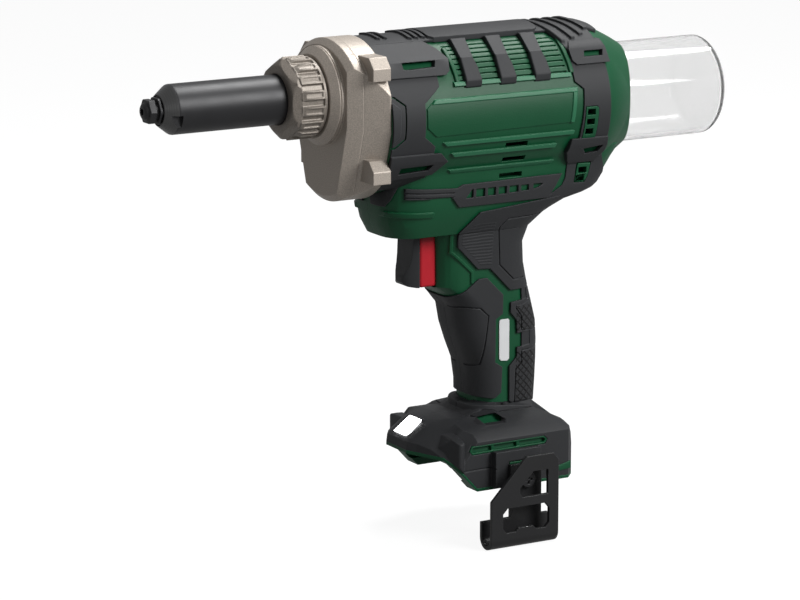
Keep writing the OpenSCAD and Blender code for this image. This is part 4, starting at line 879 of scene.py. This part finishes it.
class RIVET_OT_clamshell(bpy.types.Operator):
    """Clamshell halves with the bare side panel, ridges, vents and fins"""
    bl_idname = "rivet.clamshell"
    bl_label = "Clamshell"

    def execute(self, context):
        rise = sizes().panel_rise / MM
        panel = coat([(137, -0.7), (217, -1.0), (214.8, -17.6), (137.5, -18.3), (132.3, -13.7),
                      (132.3, -4.5)], -0.4, 0.6)
        relief = [soften(panel, 0.0005, 1)]
        for points in ([(141.5, -21.6), (215.5, -21.9), (215.0, -23.8), (143.5, -23.5)],
                       [(147.0, -27.6), (206.8, -27.9), (206, -29.9), (149, -29.6)],
                       [(149.0, -36.8), (208.8, -37.1), (208, -39.1), (150.5, -38.8)],
                       [(149, 6.6), (215, 6.2), (215, 4.4), (149, 4.8)],
                       [(137.0, -0.6), (217.2, -0.9), (216.9, -2.9), (135.2, -2.6)],
                       [(214.6, -2.0), (217.0, -2.0), (214.9, -17.8), (212.7, -17.8)]):
            relief.append(soften(coat(points, -0.4, rise), 0.0007, 1))
            # The ridges and rims take the paler green: a painted highlight
            relief[-1].data.materials.append(ridge_abs_painted_highlight())
        for x in (150.2, 214.6):
            rim = carve(wedge(x, x + 2.4, 30, 62, 60), barrel_coat(-0.4, rise), "INTERSECT")
            relief.append(soften(rim, 0.0007, 2))
        rib = outline([(121.5, -56.9), (143, -57.7), (143, -60.3), (121.5, -59.5)], -40, -4)
        relief.append(soften(carve(rib, loft(CHIN, 1.1), "INTERSECT"), 0.0007, 2))
        bend = [(157.6, -67.4), (157.6, -80.3), (169.1, -91.2), (169.3, -96.4)]
        ridge = carve(line_tool(bend, 1.3, -40, -4), loft(GRIP, 0.9), "INTERSECT")
        relief.append(soften(ridge, 0.0004, 2))
        upper = coat([(221.4, -10.8), (227.6, -10.8), (228.6, -11.8), (228.2, -26.2), (227.2, -27.1),
                      (220.8, -27.1)], -0.4, 1.2)
        lower = tail_coat([(223.6, -40.4), (231.0, -40.8), (229.7, -47.0), (227.8, -50.2),
                           (222.0, -49.8)], -0.4, 1.2)
        corner = outline([(205, -70), (260, -70), (260, -30), (205, -30)], -60, -0.02)
        corner = carve(carve(corner, loft(TAIL, 0), "INTERSECT"), loft(CHIN, -1.5))
        carve(corner, dome_plug(BARREL_R - 1.5, -1.5))
        for x, z in REAR_CELLS:
            for part in (upper, lower, corner):
                carve(part, box((x, -60, z - 3.0), (x + 4.6, -4, z)))
        relief += [soften(upper, 0.0003, 1), soften(lower, 0.0003, 1), corner]
        for part in relief:
            if not part.data.materials:
                part.data.materials.append(green_abs())
        for side, sign in SIDES:
            shell = scoop_dome(sink_foot(copy_of(side + "_shell"), 1.2))
            tools = []
            for x, z, long in ((177.6, -26.3, 12.6), (178.4, -34.2, 13), (178.8, -42.8, 13)):
                tools.append(box((x, -45, z - 1.2), (x + long, -20, z + 1.2)))
            # The right cells end at the shell, so that no light falls through from side to side
            for x, z in REAR_CELLS if sign > 0 else ():
                tools.append(box((x, -45, z - 3.0), (x + 4.6, -20, z)))
            depth = -sizes().fin_depth / MM
            for a in (26.5, 31.2, 35.9, 40.6, 45.3, 50.0, 54.7, 59.4):
                tools.append(carve(wedge(151.5, 213.5, a, a + 1.5, 60), barrel_coat(depth, 8), "INTERSECT"))
            tool = together(tools)
            carve(shell, tool if sign > 0 else mirror_tool(tool))
            shell.data.materials.append(green_abs())
            added = [pick_copy(part) for part in relief]
            if sign < 0:
                added = [screw_wells(mirror_tool(part)) for part in added]
            settle(together([shell] + added), "clamshell_" + side, [side + "_shell"], green_abs())
        for part in relief:
            bpy.data.objects.remove(part)
        return {"FINISHED"}


class RIVET_OT_top_band(bpy.types.Operator):
    """Top band with its raised middle, cross ribs and swept rear ribs"""
    bl_idname = "rivet.top_band"
    bl_label = "Top band"

    def execute(self, context):
        parts = []
        base = carve(wedge(113.2, 243, -20.6, 20.6, 60), barrel_coat(CLEAR, 1.5), "INTERSECT")
        parts.append(soften(base, 0.0006, 2))
        cap = [(209.3, -3), (216.3, -24), (217.2, -25.6), (235.8, -25.6), (235.8, -14), (242, -14)]
        cap = outline(cap + [(x, -y) for x, y in cap[::-1]], 2, 40, "Z")
        parts.append(soften(carve(cap, barrel_coat(CLEAR, 1.4), "INTERSECT"), 0.0006, 2))
        middle = [(149.5, -13.9), (206.5, -13.9), (209.0, -11.5), (209.0, 11.5), (206.5, 13.9),
                  (149.5, 13.9), (147.0, 11.5), (147.0, -11.5)]
        middle = carve(outline(middle, 20, 32, "Z"), barrel_coat(0.3, 2.75), "INTERSECT")
        parts.append(soften(middle, 0.0016, 1))
        for x in (120.5, 124.5, 136.5, 140.2, 143.9):
            wide = 8.5 if x < 130 else 11.0
            plan = [(x, -wide), (x + 1.8, -wide - 1.2), (x + 1.8, wide + 1.2), (x, wide)]
            rib = outline(plan, 20, 32, "Z")
            parts.append(soften(carve(rib, barrel_coat(0.3, 2.6), "INTERSECT"), 0.0005, 1))
        for x, reach in ((210.0, 23.6), (217.0, 22.0), (223.6, 20.0), (229.8, 16.0)):
            half = []
            for j in range(13):
                y = reach * (-1 + j / 6)
                half.append((x + 6.5 * (abs(y) / 24) ** 1.4, y))
            rib = outline(half + [(px + 2.2, py) for px, py in half[::-1]], 2, 32, "Z")
            parts.append(soften(carve(rib, barrel_coat(0.3, 2.6), "INTERSECT"), 0.0006, 1))
        settle(together(parts), "top_band_ribbed", ["top_band"], grey_tpe())
        return {"FINISHED"}


class RIVET_OT_bumpers(bpy.types.Operator):
    """Front and rear bumpers with their faceted blocks, slots and raised panels"""
    bl_idname = "rivet.bumpers"
    bl_label = "Bumpers"

    def execute(self, context):
        edge = sizes().soft_edge
        band = coat([(113.1, 14.2), (141, 11), (140.5, 5.3), (131.2, -1.9), (130.8, -18), (137, -22.9),
                     (137, -40.1), (131, -44.6), (113.1, -45.6)], CLEAR, 0.95)
        cut([band], [(113.0, 2.6), (115, 2.6), (120.8, -1.8), (120.2, -18.0), (114.6, -22.4),
                     (113.0, -22.4)])
        panel = coat([(113.1, 1.8), (114.6, 1.8), (120.1, -2.3), (119.5, -17.5), (114.2, -21.5),
                      (113.1, -21.5)], CLEAR, 0.9)
        inner = coat([(113.1, -0.4), (114.0, -0.4), (117.5, -3.2), (117.0, -16.3), (113.9, -19.0),
                      (113.1, -19.0)], 0.3, 1.28)
        patch = chin_coat([(112.5, -38), (127.0, -40.5), (121.4, -54.5), (112.5, -54.5)], CLEAR, 0.95)
        upper = block([(113.1, 25.6), (141.5, 25.6), (147.4, 21.2), (149.5, 17.5), (148.0, 12.0),
                       (145.4, 10.3), (113.1, 10.6)], [(20.7, 1.5), (43.5, 2.8), (62, 2.3)])
        cut([upper], [(123.5, 17.0), (142.0, 17.0), (140.6, 14.0), (126.0, 13.6), (123.5, 14.0)])
        lower = block([(113.1, -26.3), (140.6, -26.6), (145, -31.3), (138.8, -37.9), (113.1, -39)],
                      [(105, 1.2), (117.5, 2.85), (134, 2.6), (144, 2.0)])
        cut([band, lower], [(119.5, -32.6), (137.8, -32.2), (135.4, -35.2), (119.5, -36.0)])
        self.pair("front_bumper", (band, 0.0005), (panel, 0.0004), (inner, 0.0005), (patch, 0.0004),
                  (upper, edge), (lower, edge))
        band = coat([(221, 12), (235.9, 12), (235.9, -40), (219.5, -40), (219.5, -22.1), (221, -1.9),
                     (216.4, 1.9), (216.4, 12)], CLEAR, 0.95)
        cut([band], [(221.1, -10.5), (227.8, -10.5), (228.9, -11.7), (228.5, -26.4), (227.4, -27.4),
                     (220.5, -27.4)])
        patch = tail_coat([(217.9, -36), (236.5, -36), (241.5, -46), (245.0, -52), (245.0, -62),
                           (203, -62), (205.6, -57), (211.4, -53.1), (215.2, -50.6), (216.8, -47)],
                          CLEAR, 0.95)
        cut([band, patch], [(223.3, -36.0), (231.3, -36.0), (231.3, -40.8), (230.0, -47.0), (228.1, -50.5),
                            (221.7, -50.1)])
        upper = block([(220.5, 19.8), (238.4, 19.8), (238.4, 9.6), (219.4, 9.6), (217.4, 11.6),
                       (217.4, 16.5)], [(22, 1.7), (44, 2.8), (62, 2.4)])
        cut([band, upper], [(225.6, 15.4), (236.4, 15.4), (235.2, 12.6), (224.6, 12.6)])
        lower = block([(214.8, -26.4), (235.8, -26.8), (235.8, -34.4), (232.5, -39.9), (217.0, -39.9),
                       (213.4, -33.5)], [(105, 1.2), (118, 2.85), (134, 2.6), (144, 2.0)])
        cut([band, lower], [(222.2, -32.0), (233.6, -30.8), (231.6, -34.4), (224.8, -35.0)])
        self.pair("rear_bumper", (band, 0.0004), (patch, 0.0004), (upper, edge * 1.6), (lower, edge))
        return {"FINISHED"}

    def pair(self, node, *parts):
        """Both sides of a bumper from its parts, each with its edge radius."""
        obj = together([soften(part, edge, 2) for part, edge in parts])
        settle_pair(obj, node, "block", grey_tpe())


class RIVET_OT_vent_bars(bpy.types.Operator):
    """Vent bars: a narrow flat run above, and a wider one with cut corners below"""
    bl_idname = "rivet.vent_bars"
    bl_label = "Vent bars"

    def execute(self, context):
        runs = (([(21.8, 37.0), (21.8, 39.4), (24.0, 40.1), (43.4, 39.85), (43.4, 37.0)],
                 [(-2.0, 26), (6.4, 26), (3.8, 16.5), (-3.1, 16.5)]),
                ([(42.6, 37.0), (42.6, 40.25), (61.5, 40.2), (65.8, 38.4), (65.8, 37.0)],
                 [(-3.1, 18), (3.6, 18), (4.7, 13), (4.7, 0), (-5.0, 0)]))
        bars = []
        for x in (159.49, 178.99, 198.48):
            for spots, plan in runs:
                run = outline([barrel_spot(a, r) for a, r in spots], x - 8, x + 8, "X")
                carve(run, outline([(x + a, b) for a, b in plan], -60, 0), "INTERSECT")
                bars.append(soften(run, 0.0008, 3, 30))
        settle_pair(together(bars), "vent_bars", "kinked", grey_tpe())
        return {"FINISHED"}


class RIVET_OT_side_strips(bpy.types.Operator):
    """Side strips with ribs in front and a ladder of cells behind"""
    bl_idname = "rivet.side_strips"
    bl_label = "Side strips"

    def execute(self, context):
        strip = carve(copy_of("left_side_strip"), box((110, -60, -60), (128, -4, -40)))
        cells = [(165.4, -47.6, -52.0), (172.0, -47.7, -51.9), (178.1, -47.8, -51.8), (184.3, -47.9, -51.7),
                 (191.0, -48.0, -51.5), (197.0, -48.2, -51.2)]
        left = 159.6
        for right, top, low in cells:
            # The first cell has a slanted front
            start = left + 3.6 if left < 160 else left
            cut([strip], [(start, top), (right - 1.5, top), (right - 1.5, low), (left, low)])
            left = right
        cut([strip], [(198.0, -48.2), (204.0, -48.4), (201.0, -50.3), (198.0, -51.0)])
        for z in (-46.7, -48.9):
            tool = side_form([(126.5, z), (153.5, z - 1.6), (152.6, z - 2.3), (126.5, z - 0.7)])
            carve(strip, carve(tool, loft(CHIN, 0.6)))
        settle_pair(soften(strip, 0.0004, 2), "side_strip", "ladder", grey_tpe())
        return {"FINISHED"}


class RIVET_OT_thumb_pads(bpy.types.Operator):
    """Thumb pads with their web panel line and waved patch"""
    bl_idname = "rivet.thumb_pads"
    bl_label = "Thumb pads"

    def execute(self, context):
        deep = 1.4 - sizes().seam_depth / MM
        pad = soften(copy_of("left_thumb_pad"), 0.0006, 2, 50)
        web = [(206, -64.6), (186, -65.3), (182.7, -69.4), (184.4, -89.0), (192.7, -97.2), (199.6, -96.9)]
        tool = carve(carve(line_tool(web, sizes().seam_width / MM, -45, -4), loft(CHIN, deep)),
                     loft(GRIP, deep))
        carve(pad, tool)
        settle_pair(pad, "thumb_pad", "waved", textured_tpe(), 40)
        return {"FINISHED"}


class RIVET_OT_grip_pads(bpy.types.Operator):
    """Palm and heel pads with their panel lines and diamond texture"""
    bl_idname = "rivet.grip_pads"
    bl_label = "Grip pads"

    def execute(self, context):
        deep = 1.4 - sizes().seam_depth / MM
        pad = soften(copy_of("left_grip_pads"), 0.0006, 2, 50)
        palm = [(150, -109.8), (155.4, -110.9), (158.8, -111.5), (165.4, -109.1), (174.1, -110.1),
                (178.7, -114.4), (176.2, -139.6), (171.6, -141.1), (164.7, -140.6), (156, -139.6)]
        up = [(210, -108.2), (203.3, -109.2), (194.7, -111.2), (194.5, -112.0), (197.8, -116.6),
              (197.8, -123.6), (212, -124.6)]
        low = [(212, -133.4), (198.1, -134.0), (198.1, -139.9), (194.8, -143.1), (194.1, -160.2),
               (195.9, -161.6)]
        press_lines(pad, (palm, up, low), deep)
        spine = outline([(198.4, -98), (214, -98), (214, -141), (198.4, -141)], -40, 0)
        spine = carve(carve(spine, loft(GRIP, 0.9), "INTERSECT"), loft(GRIP, 0.03))
        settle_pair(together([pad, spine]), "grip_pads", "hatched", textured_tpe(),
                    40, wells=True)
        return {"FINISHED"}


class RIVET_OT_grip_plate(bpy.types.Operator):
    """Bare plate on the grip with rounded corners"""
    bl_idname = "rivet.grip_plate"
    bl_label = "Grip plate"

    def execute(self, context):
        plate = outline([(185.4, -118.0), (186.2, -117.2), (190.6, -117.2), (191.3, -118.0),
                         (191.4, -137.6), (190.2, -138.6), (186.6, -138.2), (185.6, -137.0)], -40, -4)
        plate = carve(carve(plate, loft(GRIP, 0.6), "INTERSECT"), loft(GRIP, 0.02))
        settle(soften(plate, 0.0002, 2), "grip_plate_bare", ["grip_plate"], foil())
        return {"FINISHED"}


class RIVET_OT_trigger(bpy.types.Operator):
    """Red trigger body and its dark finger pad, hollow in front and rounded at the sides"""
    bl_idname = "rivet.trigger"
    bl_label = "Trigger"

    def execute(self, context):
        body = soften(copy_of("trigger"), 0.0016, 4, 40)
        settle(body, "trigger_body_red", ["trigger"], red_abs(), "trigger")
        front = [(142.6, -72.4), (141.9, -75.0), (141.5, -79.2), (141.2, -83.4), (140.4, -87.2),
                 (138.9, -90.8), (137.7, -93.6), (137.9, -96.0), (139.8, -97.7), (143.0, -98.2),
                 (144.5, -98.2), (144.5, -72.4)]
        spots = [-9.4 + 18.8 * i / 16 for i in range(17)]
        plan = [(137.3 + 6.8 * (abs(y) / 9.4) ** 2.2, y) for y in spots] + [(145, 9.4), (145, -9.4)]
        pad = carve(outline(front, -9.5, 9.5), outline(plan, -110, -60, "Z"), "INTERSECT")
        settle(soften(pad, 0.0016, 4, 42), "trigger_pad_curved", ["trigger_pad"], trigger_rubber(),
               "trigger", 50)
        return {"FINISHED"}


class RIVET_OT_foot(bpy.types.Operator):
    """Foot covers with their front buttress, handle lip, slot frames and hook boss recess"""
    bl_idname = "rivet.foot"
    bl_label = "Foot covers"

    def execute(self, context):
        cover = sink_foot(copy_of("left_foot_cover"))
        self.narrow(cover)
        carve(cover, outline([(178.5, -183.6), (194.5, -183.6), (194.5, -195), (178.5, -195)], -60, -37.2))
        carve(cover, line_tool([(154.8, -187.0), (171.0, -186.7)], 0.8, -40, -33.4))
        plan = [(146.6, -22.5), (148.4, -26.0), (150.2, -29.6), (152.2, -33.6), (153.2, -34.5),
                (154.8, -34.5), (156, -33.8), (156, -20), (146, -18)]
        flank = [(145, -180.2), (145, -178.0), (147.4, -175.6), (151.0, -170.6), (157, -170.0),
                 (157, -189.6), (152, -184.4), (148, -180.4)]
        front = [(0, -164), (-13.9, -167.0), (-22, -169.4), (-27, -170.2), (-31.6, -171.4),
                 (-34.5, -173.0), (-34.5, -202), (0, -202)]
        buttress = carve(outline(plan, -200, -160, "Z"), side_form(flank), "INTERSECT")
        carve(buttress, outline(front, 100, 250, "X"), "INTERSECT")
        lip = carve(loft([(-172, 170.2, 212.4, 18.4), (-159, 171.4, 211.8, 17.9)], 0), loft(GRIP, 0.2))
        carve(lip, outline([(166, -170), (166, -161.6), (170, -160.4), (178, -159.8), (190, -160.9),
                            (200, -162.2), (214, -165.4), (214, -172)], -40, 0), "INTERSECT")
        button = soften(rod(0, -19.6, -180.8, 5.2, 219, 223.6, "X"), 0.0012, 3)
        cover = together([soften(cover, 0.0008, 3, 32), soften(buttress, 0.0006, 2, 26),
                          soften(lip, 0.0006, 2, 32), button])
        settle_pair(cover, "foot_cover", "moulded", foot_nylon())
        cells = []
        for x in (171.1, 185.6):
            cells.append(soften(box((x, -33.6, -179.0), (x + 1.8, -31.0, -174.8)), 0.0004, 2))
        window = [(158.7, -177.2), (160.3, -174.8), (201.7, -174.6), (203.6, -176.4), (202.2, -178.7),
                  (160.1, -179.2)]
        hole = [(159.7, -177.0), (160.9, -175.7), (201.3, -175.5), (202.5, -176.5), (201.7, -177.8),
                (160.7, -178.2)]
        cells.append(soften(carve(outline(window, -33.8, -31.0), outline(hole, -50, -20)), 0.0003, 2))
        rim = [(179.2, -184.2), (193.8, -184.2), (193.8, -194.2), (179.2, -194.2)]
        hole = [(180.8, -185.8), (192.2, -185.8), (192.2, -200), (180.8, -200)]
        cells.append(soften(carve(outline(rim, -38.0, -36.0), outline(hole, -50, -20)), 0.0004, 2))
        strip = [(203.0, -192.4), (217.2, -189.3), (217.4, -193.0), (203.0, -194.4)]
        cells.append(soften(outline(strip, -34.5, -33.0), 0.0003, 2))
        obj = together(cells)
        twin = mirrored(obj)
        for side, piece in (("left", obj), ("right", twin)):
            pick(piece)
            bpy.ops.object.shade_smooth_by_angle(angle=math.radians(34))
            piece.name = piece.data.name = side + "_foot_slot_frames"
            piece.data.materials.append(green_abs())
            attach(piece, "housing")
        lens = sink_foot(copy_of("work_light_lens"))
        self.narrow(lens)
        # The lens stands a little out of its opening
        for vert in lens.data.vertices:
            vert.co += Vector((-0.0006, 0, 0.0006))
        settle(soften(lens, 0.0012, 3), "work_light_lens_lit", ["work_light_lens"], lit_lens())
        return {"FINISHED"}

    def narrow(self, obj):
        """Draws the sides of the lens and of its opening in, most above, and moves both up and back."""
        for vert in obj.data.vertices:
            if vert.co.x < LENS_REAR and abs(abs(vert.co.y) - LENS_HALF) < 0.0004:
                vert.co.y *= 0.7 if vert.co.z < LENS_MIDDLE else 0.55
                vert.co.x, vert.co.z = vert.co.x + LENS_SHIFT, vert.co.z + LENS_SHIFT


class RIVET_OT_hook(bpy.types.Operator):
    """Belt hook with rounded strip edges, and its screw with a cross recess"""
    bl_idname = "rivet.hook"
    bl_label = "Belt hook"

    def execute(self, context):
        hook = soften(copy_of("belt_hook"), 0.0005, 3, 40)
        settle(hook, "belt_hook_strip", ["belt_hook"], hook_coat())
        screw = copy_of("hook_screw")
        cross = box((186.6, -44, -195.3), (187.7, -41.6, -190.7))
        carve(screw, carve(cross, box((184.85, -44, -193.55), (189.45, -41.6, -192.45)), "UNION"))
        settle(soften(screw, 0.0004, 2, 50), "hook_screw_cross", ["hook_screw"], black_oxide())
        return {"FINISHED"}


class RIVET_OT_container(bpy.types.Operator):
    """Clear mandrel container with its rim and rounded end"""
    bl_idname = "rivet.container"
    bl_label = "Container"

    def execute(self, context):
        turns = [math.radians(a) for a in range(0, 91, 15)]
        bend = [(311.1 + 3 * math.sin(t), 22 + 3 * math.cos(t)) for t in turns]
        inner = [(310.4 + 1.7 * math.sin(t), 21.3 + 1.7 * math.cos(t)) for t in turns[::-1]]
        profile = [(240.4, 23.0), (240.4, 24.6), (240.8, 25.0)] + bend + [(314.1, 0), (312.1, 0)] + inner
        obj = turned(profile, BARREL_Z, 128)
        settle(obj, "container_clear", ["container"], clear_plastic(), "container")
        for node, finish, slot in (("container_seat", dark_abs, "black_plastic"),
                                   ("container_seal", seal_rubber, "seal_rubber")):
            piece = copy_of(node)
            for vert in piece.data.vertices:
                vert.co.x = min(vert.co.x, SEAT_START + (vert.co.x - SEAT_START) * SEAT_SHARE)
            settle(piece, node + "_short", [node], finish())
        return {"FINISHED"}


class RIVET_OT_inner_works(bpy.types.Operator):
    """Finishes of the solids that stay as they are"""
    bl_idname = "rivet.inner_works"
    bl_label = "Inner works"

    def execute(self, context):
        wanted = {
            ground_steel: ("jaw_case", "pusher_spring", "pull_screw", "guide_tube", "drive_nut",
                           "motor_can", "thrust_bearing", "nut_bearing"),
            hard_steel: ("jaw_1", "jaw_2", "jaw_3", "guide_pin", "drive_gear", "output_pinion",
                         "planet_carrier", "planet_gear_1", "planet_gear_2", "planet_gear_3", "ring_gear"),
            turned_brass: ("jaw_pusher", "sun_gear", "terminal_blades"),
            wound_core: ("motor_rotor",),
            black_oxide: ("gear_case_screws", "shell_screws"),
            dark_abs: ("motor_end_cap", "switch_box", "terminal_block"),
            board_mask: ("control_board",),
        }
        for finish, names in wanted.items():
            for name in names:
                NODES[name].data.materials.clear()
                NODES[name].data.materials.append(finish())
        return {"FINISHED"}


class RIVET_OT_stage(bpy.types.Operator):
    """Pale floor, soft lamps and the camera"""
    bl_idname = "rivet.stage"
    bl_label = "Stage"

    def execute(self, context):
        scene = context.scene
        scene.view_settings.view_transform = "Standard"
        rest()
        bpy.ops.mesh.primitive_plane_add(size=30, location=(0, 0, FLOOR_Z))
        floor = context.object
        bpy.ops.object.transform_apply(location=True, rotation=True, scale=True)
        floor.name = "floor"
        made = bpy.data.materials.new("floor_pale_paper")
        made.use_nodes = True
        tree = made.node_tree
        tree.nodes.clear()
        white = add(tree, "ShaderNodeEmission", {"Color": linear("FFFFFF"), "Strength": 1.1})
        paper = add(tree, "ShaderNodeBsdfDiffuse", {"Color": linear("F0F0F0")})
        dim = add(tree, "ShaderNodeBsdfDiffuse", {"Color": linear("6A6A6A")})
        shown = add(tree, "ShaderNodeMixShader", {0: 0.84, 1: paper.outputs[0], 2: white.outputs[0]})
        mixed = add(tree, "ShaderNodeMixShader", {0: self.seen(tree), 1: dim.outputs[0],
                                                  2: shown.outputs[0]})
        add(tree, "ShaderNodeOutputMaterial", {"Surface": mixed.outputs[0]})
        floor.data.materials.append(made)
        world = scene.world or bpy.data.worlds.new("studio")
        scene.world = world
        world.use_nodes = True
        tree = world.node_tree
        tree.nodes.clear()
        shown = add(tree, "ShaderNodeBackground", {"Color": linear("FFFFFF"), "Strength": 1.0})
        light = add(tree, "ShaderNodeBackground", {"Color": linear("F4F6FA"), "Strength": 0.13})
        mixed = add(tree, "ShaderNodeMixShader", {0: self.seen(tree), 1: light.outputs[0],
                                                  2: shown.outputs[0]})
        add(tree, "ShaderNodeOutputWorld", {"Surface": mixed.outputs[0]})
        self.lamp("key_softbox", (0.75, -1.2, 0.72), 0.7, 22.0)
        self.lamp("top_softbox", (0.72, 0.22, 1.1), 0.55, 15.0)
        self.lamp("front_softbox", (-1.1, -1.3, 0.5), 0.8, 1.0)
        camera = bpy.data.objects.new("camera", bpy.data.cameras.new("camera"))
        scene.collection.objects.link(camera)
        right, up = Vector(CAMERA_RIGHT), Vector(CAMERA_UP)
        turn = Matrix((right, up, right.cross(up))).transposed().to_4x4()
        camera.matrix_world = Matrix.Translation(Vector(CAMERA_PLACE)) @ turn
        camera.data.sensor_width = 36.0
        camera.data.sensor_fit = "HORIZONTAL"
        camera.data.lens = CAMERA_LENS
        camera.data.clip_start, camera.data.clip_end = 0.05, 60.0
        scene.camera = camera
        return {"FINISHED"}

    def seen(self, tree):
        """White for camera and clear rays, and a part of it for glossy rays."""
        path = add(tree, "ShaderNodeLightPath").outputs
        clear = maths(tree, "MAXIMUM", path["Is Camera Ray"], path["Is Transmission Ray"])
        return maths(tree, "MAXIMUM", clear, maths(tree, "MULTIPLY", path["Is Glossy Ray"], GLOSS_SHARE))

    def lamp(self, name, spot, size, power):
        """A square softbox that looks at the tool."""
        data = bpy.data.lights.new(name, "AREA")
        data.size, data.energy = size, power
        obj = bpy.data.objects.new(name, data)
        bpy.context.scene.collection.objects.link(obj)
        aim = Vector(LAMP_AIM) - Vector(spot)
        turn = aim.to_track_quat("-Z", "Y").to_matrix().to_4x4()
        obj.matrix_world = Matrix.Translation(Vector(spot)) @ turn


PIECES = (RIVET_OT_nose, RIVET_OT_collar, RIVET_OT_gear_case, RIVET_OT_clamshell, RIVET_OT_top_band,
          RIVET_OT_bumpers, RIVET_OT_vent_bars, RIVET_OT_side_strips, RIVET_OT_thumb_pads,
          RIVET_OT_grip_pads, RIVET_OT_grip_plate, RIVET_OT_trigger, RIVET_OT_foot, RIVET_OT_hook,
          RIVET_OT_container, RIVET_OT_inner_works, RIVET_OT_stage)


class RIVET_PT_panel(bpy.types.Panel):
    """Lists the steps that dress the tool"""
    bl_idname = "RIVET_PT_panel"
    bl_label = "Rivet tool"
    bl_space_type = "VIEW_3D"
    bl_region_type = "UI"
    bl_category = "Rivet tool"

    def draw(self, context):
        for piece in PIECES:
            self.layout.operator(piece.bl_idname)
        for group in (sizes(), colours()):
            for key in group.__annotations__:
                self.layout.prop(group, key)


CLASSES = (RivetToolSizes, RivetToolColours) + PIECES + (RIVET_PT_panel,)


def register():
    for cls in CLASSES:
        bpy.utils.register_class(cls)
    bpy.types.Scene.rivet_sizes = bpy.props.PointerProperty(type=RivetToolSizes)
    bpy.types.Scene.rivet_colours = bpy.props.PointerProperty(type=RivetToolColours)


def unregister():
    del bpy.types.Scene.rivet_colours
    del bpy.types.Scene.rivet_sizes
    for cls in reversed(CLASSES):
        bpy.utils.unregister_class(cls)


def main():
    register()
    for piece in PIECES:
        group, name = piece.bl_idname.split(".")
        getattr(getattr(bpy.ops, group), name)()


if __name__ == "__main__":
    main()
